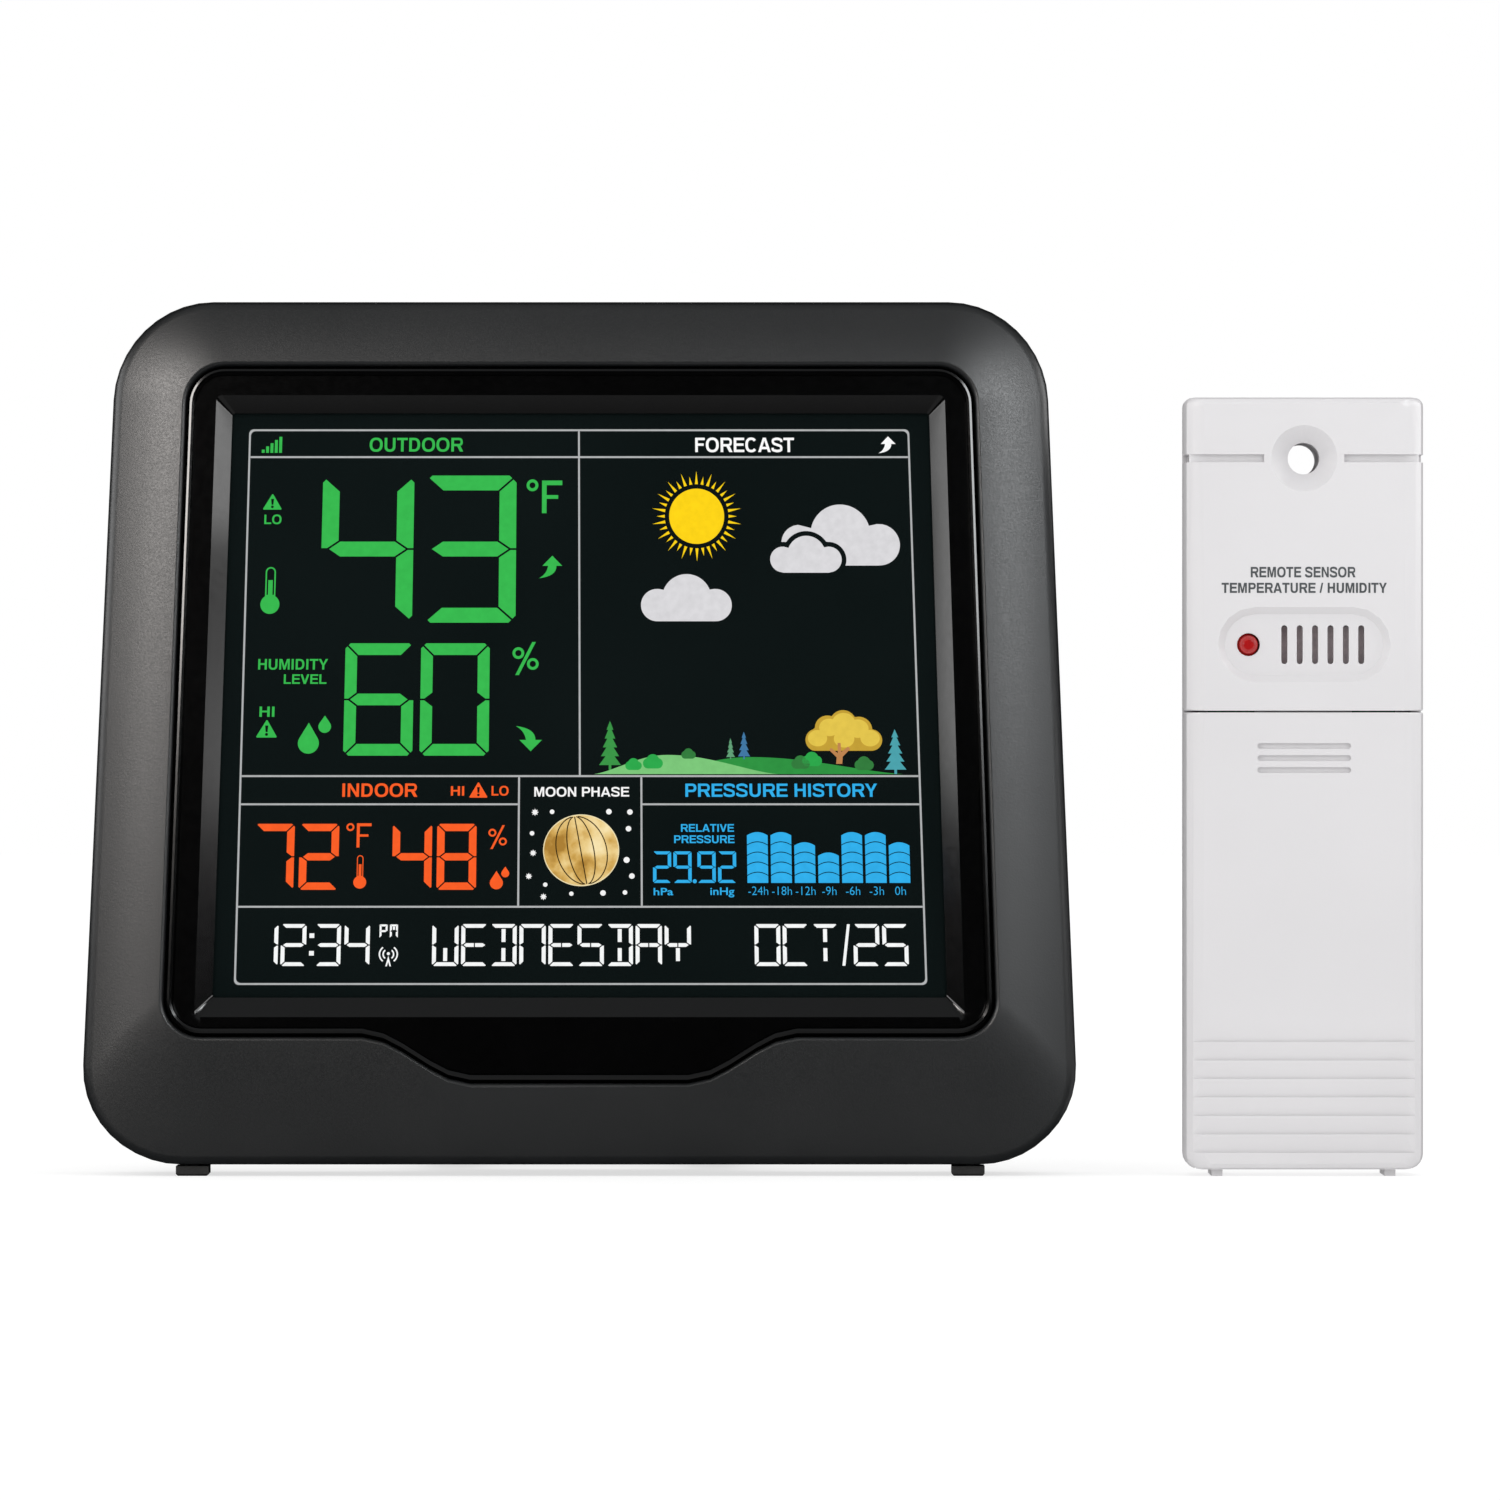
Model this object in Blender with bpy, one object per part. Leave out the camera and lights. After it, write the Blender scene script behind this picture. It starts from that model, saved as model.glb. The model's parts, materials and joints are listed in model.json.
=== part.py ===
"""Home weather station: a desk display on a fold-out stand, and its wireless outdoor sensor.

Metres, +Z up, +X along the pair, both fronts facing -Y. Helper functions take millimetres.
Display pieces are written in a frame that leans back with the display: x across, y into the case,
z up the face.
"""

import math

import bmesh
import bpy
from mathutils import Matrix, Vector

MM = 0.001

# Display: the face leans back, and its sides close in by TAPER per millimetre of height about MID_HEIGHT.
LEAN = math.radians(8.0)
DISPLAY_X, DISPLAY_Y, DISPLAY_RAISE = -28.584, -36.835, 1.94
FACE_HEIGHT, FACE_HALF, CORNER = 144.8, 79.85, 16.5
TAPER, MID_HEIGHT = 4.75e-4, 72.0
FRAME_DEPTH, CASE_DEPTH, WALL, PLATE = 12.0, 27.0, 2.2, 2.6
GAP = 0.3
OPENING = (67.15, 21.34, 133.42, 6.3)  # half width, bottom, top, corner radius
WINDOW = (59.41, 28.15, 125.93, 0.5)
BEVEL = (62.12, 24.61, 128.55, 1.0)
TONGUE_DIP, TONGUE_FLAT, TONGUE_START = 7.7, 17.5, 35.0

BOSSES = ((-73.6, 30.0), (73.6, 30.0), (-70.6, 118.0), (70.6, 118.0))
STAND_AXIS_Y, STAND_AXIS_Z, STAND_LENGTH, STAND_DROP = 29.4, 9.5, 42.0, math.radians(7.309)
BUTTONS = ("history", "alert", "down", "up", "set", "light")
BUTTON_PITCH, BUTTON_Z, BUTTON_HALF_W, BUTTON_HALF_H = 16.0, 125.0, 5.0, 2.3
BAY_HALF, BAY_LOW, BAY_HIGH, BAY_FLOOR = 27.5, 64.5, 99.5, 13.1
DOOR_HALF, DOOR_LOW, DOOR_HIGH = 31.0, 63.6, 105.7
CELL_RADIUS, CELL_HALF, CELL_Y, CELL_ROWS = 5.2, 22.0, 18.7, (71.0, 82.0, 93.0)
INLET = (-50.0, 44.0)
BUZZER = (50.0, 44.0)

# Sensor
SENSOR_X, SENSOR_Y = 90.766, -35.335
SENSOR_HALF, SENSOR_LOW, SENSOR_HIGH, SENSOR_DEPTH = 19.75, 1.12, 128.26, 20.5
SENSOR_SPLIT_Y, SENSOR_SEAM, SHELL = 9.5, 76.53, 1.8
HANG_Z, HANG_RADIUS, SINK_RADIUS = 118.23, 2.6, 5.45
RECESS_Z, LED_X = 87.55, -9.14
AA_RADIUS, AA_LOW, AA_HIGH, AA_X, AA_Y = 7.1, 13.4, 63.9, 7.6, 10.6

FINISHES = {
    "charcoal": ((0.045, 0.043, 0.041), 0.45, 0.0),
    "gloss_black": ((0.004, 0.004, 0.004), 0.08, 0.0),
    "glass": ((0.012, 0.018, 0.018), 0.12, 0.0),
    "diffuser": ((0.86, 0.88, 0.90), 0.35, 0.0),
    "white_plastic": ((0.76, 0.76, 0.75), 0.42, 0.0),
    "circuit_green": ((0.02, 0.13, 0.06), 0.5, 0.0),
    "black_plastic": ((0.02, 0.02, 0.02), 0.5, 0.0),
    "grey_button": ((0.16, 0.16, 0.16), 0.55, 0.0),
    "rubber": ((0.015, 0.015, 0.015), 0.85, 0.0),
    "steel": ((0.62, 0.62, 0.60), 0.28, 1.0),
    "ferrite": ((0.06, 0.055, 0.055), 0.6, 0.0),
    "cell_wrap": ((0.05, 0.16, 0.36), 0.35, 0.2),
    "copper": ((0.72, 0.35, 0.18), 0.3, 1.0),
    "red_lens": ((0.55, 0.02, 0.02), 0.12, 0.0),
}


def clear_scene():
    for thing in list(bpy.data.objects):
        bpy.data.objects.remove(thing, do_unlink=True)


# Closed shapes, each a (points, faces) pair in millimetres


def loft(sections, ring=False):
    """Skin between outlines of equal length; a ring joins its last to its first, others are capped."""
    count = len(sections[0])
    points = [point for section in sections for point in section]
    faces = []
    for s in range(len(sections) if ring else len(sections) - 1):
        a, b = s * count, (s + 1) % len(sections) * count
        faces += [(a + i, a + (i + 1) % count, b + (i + 1) % count, b + i) for i in range(count)]
    if not ring:
        faces.append(tuple(range(count)))
        faces.append(tuple(range(len(points) - count, len(points))))
    return points, faces


def box(x, y, z):
    corners = [(x[0], y[0]), (x[1], y[0]), (x[1], y[1]), (x[0], y[1])]
    return loft([[(px, py, pz) for px, py in corners] for pz in z])


def turned(profile, axis, centre, steps=24, ring=False):
    """Profile of (radius, distance) turned about an axis through centre; radius 0 closes an end."""
    order = {"x": (1, 2, 0), "y": (0, 2, 1), "z": (0, 1, 2)}[axis]
    points, loops = [], []
    for radius, distance in profile:
        loop = []
        for step in range(steps if radius else 1):
            angle = 2 * math.pi * step / steps
            local = (radius * math.cos(angle), radius * math.sin(angle), distance)
            point = list(centre)
            for index, value in zip(order, local):
                point[index] += value
            loop.append(len(points))
            points.append(tuple(point))
        loops.append(loop)
    faces = []
    for a, b in zip(loops, loops[1:] + loops[:1] if ring else loops[1:]):
        for i in range(max(len(a), len(b))):
            corners = (a[i % len(a)], a[(i + 1) % len(a)], b[(i + 1) % len(b)], b[i % len(b)])
            faces.append(tuple(dict.fromkeys(corners)))
    if not ring:
        faces += [tuple(loop) for loop in (loops[0], loops[-1]) if len(loop) > 2]
    return points, faces


def prism(outline, axis, low, high):
    """A flat outline drawn out along an axis."""
    if axis == "x":
        return loft([[(t, a, b) for a, b in outline] for t in (low, high)])
    if axis == "y":
        return loft([[(a, t, b) for a, b in outline] for t in (low, high)])
    return loft([[(a, b, t) for a, b in outline] for t in (low, high)])


def coil(radius_low, radius_high, turns, wire, axis, centre, length, per_turn=10, sides=5):
    """A round wire wound about an axis from centre, tapering from one radius to the other."""
    order = {"x": (1, 2, 0), "y": (0, 2, 1), "z": (0, 1, 2)}[axis]
    sections = []
    total = int(turns * per_turn)
    for step in range(total + 1):
        share = step / total
        angle = 2 * math.pi * turns * share
        radius = radius_low + (radius_high - radius_low) * share
        section = []
        for side in range(sides):
            turn = 2 * math.pi * side / sides
            reach = radius + wire * math.cos(turn)
            along = length * share + wire * math.sin(turn)
            local = (reach * math.cos(angle), reach * math.sin(angle), along)
            point = list(centre)
            for index, value in zip(order, local):
                point[index] += value
            section.append(tuple(point))
        sections.append(section)
    return loft(sections)


def arc(cx, cz, radius, start, end, steps):
    span = math.radians(end - start)
    angles = [math.radians(start) + span * i / steps for i in range(steps + 1)]
    return [(cx + radius * math.cos(a), cz + radius * math.sin(a)) for a in angles]


def rounded(half, low, high, radius, steps=3, top_radius=None):
    top = radius if top_radius is None else top_radius
    return (
        arc(half - radius, low + radius, radius, -90, 0, steps)
        + arc(half - top, high - top, top, 0, 90, steps)
        + arc(-half + top, high - top, top, 90, 180, steps)
        + arc(-half + radius, low + radius, radius, 180, 270, steps)
    )


def shifted(outline, dx, dz):
    return [(x + dx, z + dz) for x, z in outline]


def stadium(half_length, radius, centre_x, centre_z, steps=8):
    ends = arc(half_length - radius, 0, radius, -90, 90, steps)
    ends += arc(-half_length + radius, 0, radius, 90, 270, steps)
    return shifted(ends, centre_x, centre_z)


def tapered(x, z):
    return x * (1 - TAPER * (z - MID_HEIGHT))


def face_outline(half, low, high, radius, y, dip=0.0):
    """An outline of the display face at depth y, with the badge tongue's dip in its bottom edge."""
    rows = []
    steps = (17.5, 21.0, 24.0, 26.25, 28.5, 31.5, 35.0)
    for x in [-step for step in reversed(steps)] + list(steps):
        share = (TONGUE_START - abs(x)) / (TONGUE_START - TONGUE_FLAT)
        rows.append((x, low - dip * share * share * (3 - 2 * share)))
    for side, level, start in ((1, 1, -90), (1, -1, 0), (-1, -1, 90), (-1, 1, 180)):
        centre = (side * (half - radius), (low if level > 0 else high) + level * radius)
        rows += arc(*centre, radius, start, start + 90, 10)
    return [(tapered(x, z), y, z) for x, z in rows]


# Objects


def material(name, finish):
    colour, roughness, metallic = FINISHES[finish]
    made = bpy.data.materials.new(name)
    made.use_nodes = True
    shader = made.node_tree.nodes["Principled BSDF"]
    shader.inputs["Base Color"].default_value = (*colour, 1.0)
    shader.inputs["Roughness"].default_value = roughness
    shader.inputs["Metallic"].default_value = metallic
    made.diffuse_color = (*colour, 1.0)
    return made


def frame_empty(name, location, lean):
    empty = bpy.data.objects.new(name, None)
    empty.matrix_world = Matrix.Translation(Vector(location) * MM) @ Matrix.Rotation(-lean, 4, "X")
    bpy.context.scene.collection.objects.link(empty)
    return empty


def solid(name, shapes, frame, pivot=(0, 0, 0)):
    """One mesh object of closed shapes, with its origin at the pivot."""
    mesh = bpy.data.meshes.new(name)
    shell = bmesh.new()
    for points, faces in shapes:
        verts = [shell.verts.new((Vector(p) - Vector(pivot)) * MM) for p in points]
        for face in faces:
            shell.faces.new([verts[i] for i in face])
    bmesh.ops.recalc_face_normals(shell, faces=shell.faces)
    shell.to_mesh(mesh)
    shell.free()
    made = bpy.data.objects.new(name, mesh)
    made.parent = frame
    made.location = Vector(pivot) * MM
    bpy.context.scene.collection.objects.link(made)
    return made


def piece(name, finish, shapes, frame, pivot=(0, 0, 0), hollow=None, add=(), cuts=()):
    """A finished sub-part: its first shapes less their hollow, then what is fused to it, then the cuts."""
    made = solid(name, shapes, frame, pivot)
    made.data.materials.append(material(name + "_finish", finish))
    if hollow:
        combine(made, solid(name + "_hollow", [hollow], frame), "DIFFERENCE")
    for number, shape in enumerate(add):
        combine(made, solid(f"{name}_add_{number}", [shape], frame), "UNION")
    for number, shape in enumerate(cuts):
        made_already = isinstance(shape, bpy.types.Object)
        tool = shape if made_already else solid(f"{name}_cut_{number}", [shape], frame)
        combine(made, tool, "DIFFERENCE")
    return made


def combine(target, tool, operation):
    tool.hide_render = True
    tool.display_type = "WIRE"
    modifier = target.modifiers.new(tool.name, "BOOLEAN")
    modifier.operation = operation
    modifier.solver = "EXACT"
    modifier.object = tool


# Display unit


def build_front_frame(display, world):
    half, low, high, corner = OPENING
    top, edge = FACE_HEIGHT, FACE_HALF
    rise = math.tan(LEAN)
    ring = [
        face_outline(half, low, high, corner, 1.1, TONGUE_DIP),
        face_outline(half + 0.08, low - 0.08, high + 0.08, corner + 0.08, 0.7, TONGUE_DIP),
        face_outline(half + 0.22, low - 0.22, high + 0.22, corner + 0.2, 0.35, TONGUE_DIP),
        face_outline(half + 0.45, low - 0.45, high + 0.45, corner + 0.4, 0.1, TONGUE_DIP),
        face_outline(half + 0.8, low - 0.8, high + 0.8, corner + 0.7, 0.0, TONGUE_DIP),
        face_outline(half + 6.0, 12.0, high + 5.4, corner + 4.8, 0.85, 1.6),
        face_outline(edge - 1.7, 1.8, top - 1.7, CORNER - 1.6, 2.3),
        face_outline(edge - 0.9, 1.1, top - 0.9, CORNER - 0.9, 2.6),
        face_outline(edge - 0.35, 0.65, top - 0.35, CORNER - 0.35, 3.1),
        face_outline(edge - 0.08, 0.55, top - 0.08, CORNER - 0.08, 3.7),
        face_outline(edge, 4.4 * rise, top, CORNER, 4.4),
        face_outline(edge, FRAME_DEPTH * rise, top, CORNER, FRAME_DEPTH),
        face_outline(edge - WALL, FRAME_DEPTH * rise + WALL, top - WALL, CORNER - WALL, FRAME_DEPTH),
        face_outline(edge - WALL, 5.2 * rise + WALL, top - WALL, CORNER - WALL, 5.2),
        face_outline(half + 3.0, low - 3.0, high + 3.0, corner + 2.6, PLATE + 0.2, TONGUE_DIP),
        face_outline(half, low, high, corner, PLATE, TONGUE_DIP),
    ]
    posts = [turned([(3.2, 2.4), (3.2, FRAME_DEPTH)], "y", (x, 0, z)) for x, z in BOSSES]
    bores = [turned([(1.5, 5.8), (1.5, FRAME_DEPTH + 2)], "y", (x, 0, z), 12) for x, z in BOSSES]
    holes = [solid(f"foot_hole_{i}", [turned([(1.6, -1), (1.6, 8)], "z", (x, FOOT_Y, 0), 16)], world)
             for i, x in enumerate(FOOT_X)]
    piece("front_frame", "charcoal", [loft(ring, ring=True)], display, add=posts, cuts=bores + holes)


def build_screen(display):
    half, low, high, corner = OPENING
    inner = (half - 0.35, low + 0.35, high - 0.35, corner - 0.35)
    half, low, high, corner = inner
    ring = [face_outline(*BEVEL, 0.95)]
    for inset, y in ((1.3, 0.95), (1.15, 1.1), (0.95, 0.62), (0.55, 0.42), (0.2, 0.5), (0.0, 0.8)):
        ring.append(face_outline(half - inset, low + inset, high - inset, corner - inset, y, TONGUE_DIP))
    ring += [
        face_outline(*inner, PLATE + GAP, TONGUE_DIP),
        face_outline(68.5, 20.0, 134.6, 7.5, PLATE + GAP, TONGUE_DIP),
        face_outline(68.5, 20.0, 134.6, 7.5, 4.0, TONGUE_DIP),
        face_outline(*WINDOW, 4.0),
        face_outline(*WINDOW, 3.6),
    ]
    piece("window_bezel", "gloss_black", [loft(ring, ring=True)], display)
    piece("lcd_panel", "glass", [box((-62.5, 62.5), (4.3, 6.3), (25.5, 127.5))], display)
    piece("light_guide", "diffuser", [box((-61.5, 61.5), (6.6, 8.6), (28.4, 126.5))], display)
    lamps = [box((x - 1.4, x + 1.4), (6.9, 8.3), (27.2, 28.1)) for x in range(-50, 51, 20)]
    piece("backlight_strip", "white_plastic", [box((-55, 55), (6.6, 8.6), (25.6, 27.4))], display, add=lamps)
    rim = [(66.0, 22.6, 130.4, 1.2), (63.2, 25.0, 128.0, 0.5), (58.0, 30.0, 123.0, 0.5)]
    sections = []
    for size, y in ((0, 4.3), (0, 9.4), (2, 9.4), (2, 8.9), (1, 8.9), (1, 4.3)):
        sections.append([(x, y, z) for x, z in rounded(*rim[size], 2)])
    piece("lcd_holder", "white_plastic", [loft(sections, ring=True)], display)


def build_boards(display):
    chips = [
        box((-14, 2), (10.8, 12.4), (34, 50)),
        box((12, 22), (10.8, 13.2), (36, 42)),
        box((-34, -24), (10.8, 12.6), (108, 114)),
        box((28, 40), (10.8, 14.0), (106, 116)),
    ]
    board = [prism(rounded(57.0, 31.0, 121.0, 3.0), "y", 9.7, 11.1)]
    piece("main_board", "circuit_green", board, display, add=chips)
    switches = [
        box((x - 3, x + 3), (16.5, 19.9), (BUTTON_Z - 3, BUTTON_Z + 3)) for x in button_columns()
    ]
    strip = [box((-48, 48), (15.2, 16.7), (BUTTON_Z - 5, BUTTON_Z + 5))]
    piece("button_board", "circuit_green", strip, display, add=switches)
    x, z = INLET
    jack = [box((x - 5, x + 5), (11.4, 24.5), (z - 5.5, z + 5.5))]
    socket = [turned([(1.0, 14.5), (2.9, 14.5), (2.9, 26), (1.0, 26)], "y", (x, 0, z), 20, ring=True)]
    piece("dc_inlet", "black_plastic", jack, display, cuts=socket)
    x, z = BUZZER
    can = [(7.0, 11.4), (7.0, 17.4), (6.4, 18.0), (1.2, 18.0), (1.2, 16.6), (0, 16.6)]
    piece("buzzer", "black_plastic", [turned(can, "y", (x, 0, z))], display)
    rod = [(3.0, -30), (3.0, -21), (4.4, -21), (4.4, 21), (3.0, 21), (3.0, 30)]
    piece("time_antenna", "ferrite", [turned(rod, "x", (0, 17.2, 50.5), 20)], display)


def button_columns():
    return [(i - (len(BUTTONS) - 1) / 2) * BUTTON_PITCH for i in range(len(BUTTONS))]


def build_buttons(display):
    for x, name in zip(button_columns(), BUTTONS):
        brim, cap, top = (
            shifted(
                rounded(BUTTON_HALF_W + more, -BUTTON_HALF_H - more, BUTTON_HALF_H + more, radius, 4),
                x, BUTTON_Z,
            )
            for more, radius in ((1.2, 2.6), (0.0, 2.2), (-0.6, 1.6))
        )
        rows = [(brim, 23.0), (brim, 24.4), (cap, 24.4), (cap, 27.5), (top, 28.0)]
        shape = loft([[(px, y, pz) for px, pz in outline] for outline, y in rows])
        stem = box((x - 1.2, x + 1.2), (21.0, 23.2), (BUTTON_Z - 1.2, BUTTON_Z + 1.2))
        piece(f"button_{name}", "grey_button", [shape], display, (x, 24.4, BUTTON_Z), add=[stem])


def case_outline(inset, low, high_inset, y):
    return face_outline(FACE_HALF - inset, low, FACE_HEIGHT - high_inset, CORNER - 1.0, y)


def build_rear_case(display):
    front, back = FRAME_DEPTH + GAP, CASE_DEPTH
    inner_back = back - WALL
    sections = [
        case_outline(3.6 + WALL, 5.6 + WALL, 3.6 + WALL, inner_back),
        case_outline(0.5 + WALL, 1.39 + WALL, 0.5 + WALL, front),
        case_outline(0.5, 1.39, 0.5, front),
        case_outline(1.4, 3.2, 1.4, back - 3.0),
        case_outline(2.2, 4.4, 2.2, back - 0.9),
        case_outline(3.6, 5.8, 3.6, back),
    ]
    thick = box((-35, 35), (23.3, inner_back + 0.5), (56, 108.5))
    wide = BAY_HALF + 1.5
    bay = box((-wide, wide), (BAY_FLOOR - 1.5, 24.0), (BAY_LOW - 1.5, BAY_HIGH + 1.5))
    posts = [turned([(3.9, front), (3.9, back - 1.5)], "y", (x, 0, z)) for x, z in BOSSES]
    lugs = []
    for side in (-1, 1):
        span = sorted((side * 27.2, side * 31.2))
        profile = arc(STAND_AXIS_Y, STAND_AXIS_Z, 2.6, -90, 90, 6) + [(26.0, 12.6), (26.0, 7.6)]
        lugs.append(prism(profile, "x", *span))
    cuts = [box((-DOOR_HALF - 0.5, DOOR_HALF + 0.5), (25.0, 30), (57.8, DOOR_HIGH + 0.4))]
    cuts.append(box((-BAY_HALF, BAY_HALF), (BAY_FLOOR, 30), (BAY_LOW, BAY_HIGH)))
    for x, z in BOSSES:
        hole = [(1.5, front - 1), (1.5, 15.0), (2.9, 15.0), (2.9, back + 1)]
        cuts.append(turned(hole, "y", (x, 0, z), 20))
    for x in button_columns():
        hole = rounded(BUTTON_HALF_W + GAP, -BUTTON_HALF_H - GAP, BUTTON_HALF_H + GAP, 2.4, 4)
        cuts.append(prism(shifted(hole, x, BUTTON_Z), "y", 24, 29))
    cuts.append(turned([(4.2, 24), (4.2, 29)], "y", (INLET[0], 0, INLET[1]), 28))
    for dx in (-6, -3, 0, 3, 6):
        x, z = BUZZER[0] + dx, BUZZER[1]
        cuts.append(box((x - 0.6, x + 0.6), (24, 29), (z - 5, z + 5)))
    keyhole = arc(0, 111.8, 4.3, 120, 420, 12) + arc(0, 117.0, 2.15, 0, 180, 6)
    cuts.append(prism(keyhole, "y", 24, 29))
    cuts.append(turned([(1.25, -40), (1.25, 40)], "x", (0, STAND_AXIS_Y, STAND_AXIS_Z), 16))
    add = [thick, bay] + posts + lugs
    piece("rear_case", "black_plastic", [loft(sections)], display, add=add, cuts=cuts)


def build_screws(display):
    for number, (x, z) in enumerate(BOSSES, 1):
        profile = [(0, 6.2), (1.15, 7.0), (1.15, 15.3), (2.5, 15.3), (2.5, 16.6), (1.7, 17.3)]
        cross = [box((x - 1.3, x + 1.3), (16.6, 18.4), (z - 0.35, z + 0.35)),
                 box((x - 0.35, x + 0.35), (16.6, 18.4), (z - 1.3, z + 1.3))]
        piece(f"case_screw_{number}", "steel", [turned(profile, "y", (x, 0, z), 16)], display, cuts=cross)


def build_battery_bay(display):
    door = box((-DOOR_HALF, DOOR_HALF), (25.3, 26.9), (DOOR_LOW, DOOR_HIGH))
    ribs = [box((-9, 9), (26.6, 27.5), (z, z + 1.1)) for z in (67.0, 69.6, 72.2)]
    piece("battery_door", "black_plastic", [door], display, (0, 25.3, DOOR_LOW), add=ribs)
    for number, z in enumerate(CELL_ROWS, 1):
        way = 1 if number % 2 else -1
        body = [(0, -way * CELL_HALF), (4.0, -way * CELL_HALF), (CELL_RADIUS, -way * (CELL_HALF - 0.6)),
                (CELL_RADIUS, way * (CELL_HALF - 1.4)), (4.4, way * (CELL_HALF - 0.8)),
                (1.9, way * (CELL_HALF - 0.8)), (1.9, way * CELL_HALF), (0, way * CELL_HALF)]
        piece(f"backup_cell_{number}", "cell_wrap", [turned(body, "x", (0, CELL_Y, z), 20)], display)
        spring = coil(3.4, 2.0, 3.0, 0.3, "x", (-way * 26.0, CELL_Y, z), way * 3.2)
        piece(f"cell_spring_{number}", "steel", [spring], display)
    low, high = CELL_ROWS[0] - 4.5, CELL_ROWS[-1] + 4.5
    for name, side in (("left", -1), ("right", 1)):
        span = sorted((side * 27.2, side * 26.7))
        piece(f"cell_contact_{name}", "steel", [box(span, (14.4, 23.0), (low, high))], display)


FOOT_X = (DISPLAY_X - 63.8, DISPLAY_X + 64.1)
FOOT_Y = DISPLAY_Y + 7.8


def build_feet(world):
    for name, x in zip(("left", "right"), FOOT_X):
        corners = ((-2.7, -3.9), (2.7, -3.9), (2.7, 3.9), (-2.7, 3.9))
        pad = [[(x + px * s, FOOT_Y + py * s, z) for px, py in corners]
               for s, z in ((0.88, 0.0), (1.0, 0.35), (1.0, 1.64))]
        plug = turned([(1.3, 1.2), (1.3, 4.75), (2.1, 4.75), (1.5, 6.0)], "z", (x, FOOT_Y, 0), 16)
        piece(f"front_foot_{name}", "rubber", [loft(pad)], world, add=[plug])


def build_stand(display):
    pivot = (0, STAND_AXIS_Y, STAND_AXIS_Z)

    def along(distance, height):
        """A point of the leg's side profile: distance out from the hinge, height above its middle plane."""
        angle = LEAN - STAND_DROP
        return (STAND_AXIS_Y + distance * math.cos(angle) - height * math.sin(angle),
                STAND_AXIS_Z + distance * math.sin(angle) + height * math.cos(angle))

    leg = [along(0, -1.5), along(STAND_LENGTH - 1.0, -1.5), along(STAND_LENGTH, -0.6),
           along(STAND_LENGTH, 0.6), along(STAND_LENGTH - 1.0, 1.5), along(0, 1.5)]
    hollow = [along(8, -4), along(30, -4), along(30, 4), along(8, 4)]
    slot = [along(33, -4), along(39.4, -4), along(39.4, -0.6), along(33, -0.6)]
    barrel = turned([(2.2, -26.8), (2.2, 26.8)], "x", pivot, 20)
    bore = turned([(1.25, -40), (1.25, 40)], "x", pivot, 16)
    cuts = [prism(hollow, "x", -17, 17), prism(slot, "x", -20, 20), bore]
    plate = [prism(leg, "x", -26.8, 26.8)]
    piece("kickstand", "black_plastic", plate, display, pivot, add=[barrel], cuts=cuts)
    pad = [along(33.3, -3.044), along(39.1, -2.3), along(39.1, -0.9), along(33.3, -0.9)]
    piece("kickstand_pad", "rubber", [prism(pad, "x", -19.7, 19.7)], display)
    piece("kickstand_pin", "steel", [turned([(0.95, -31.0), (0.95, 31.0)], "x", pivot, 16)], display)


# Outdoor sensor


def sensor_outline(inset, low, high, y, low_radius=2.6, high_radius=1.5):
    rows = rounded(SENSOR_HALF - inset, low, high, low_radius, 5, high_radius)
    return [(x, y, z) for x, z in rows]


def build_sensor_front(sensor):
    low, high = SENSOR_SEAM + 0.15, SENSOR_HIGH
    wall, depth = SHELL, SENSOR_SPLIT_Y
    cavity = [sensor_outline(wall, low - 5, high - wall, y, 0.3, 0.5) for y in (wall, depth + 1)]
    outer = [
        sensor_outline(3.2, low, high - 0.9, 0.0, 0.3, 1.0),
        sensor_outline(1.5, low, high - 0.3, 0.45, 0.3, 1.3),
        sensor_outline(0.45, low, high, 1.4, 0.3, 1.5),
        sensor_outline(0.0, low, high, 3.4, 0.3, 1.5),
        sensor_outline(0.0, low, high, depth, 0.3, 1.5),
    ]
    add = [
        turned([(4.4, 1.0), (4.4, depth)], "y", (0, 0, HANG_Z)),
        prism(stadium(15.0, 7.0, 0, RECESS_Z), "y", 1.4, 2.9),
        box((-8, 8), (3.4, 4.8), (69.4, 80)),
        box((-8, 8), (1.4, 4.8), (78.2, 80)),
        turned([(2.9, 1.2), (2.9, depth)], "y", (-14.2, 0, 122.6), 16),
        turned([(2.9, 1.2), (2.9, depth)], "y", (14.2, 0, 122.6), 16),
    ]
    rim = [[(x, y, z) for x, z in stadium(13.09 + out, 5.02 + out, 0, RECESS_Z)]
           for out, y in ((1.6, -0.4), (1.0, 0.15), (0, 1.1))]
    cuts = [loft(rim)]
    for number in range(6):
        x = -3.22 + 2.532 * number
        slot = rounded(0.5, RECESS_Z - 3.2, RECESS_Z + 3.2, 0.45, 2)
        cuts.append(prism(shifted(slot, x, 0), "y", 0.5, 4))
    cuts.append(turned([(1.9, 0.5), (1.9, 4)], "y", (LED_X, 0, RECESS_Z), 20))
    sink = [(SINK_RADIUS + 0.4, -0.4), (HANG_RADIUS, 2.75), (HANG_RADIUS, 12)]
    cuts.append(turned(sink, "y", (0, 0, HANG_Z), 40))
    for side in (-1, 1):
        across = sorted((side * 6.6, side * 22))
        cuts.append(box(across, (-1, 0.9), (117.57, 118.88)))
        cuts.append(box(sorted((side * 18.9, side * 22)), (0.5, 12), (117.57, 118.88)))
        cuts.append(turned([(1.3, 3.2), (1.3, 12)], "y", (side * 14.2, 0, 122.6), 12))
    cuts.append(turned([(2.1, 3), (2.1, 6)], "y", (0, 0, 73.2), 20))
    shell = [loft(outer)]
    piece("sensor_front_shell", "white_plastic", shell, sensor, hollow=loft(cavity), add=add, cuts=cuts)


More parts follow.
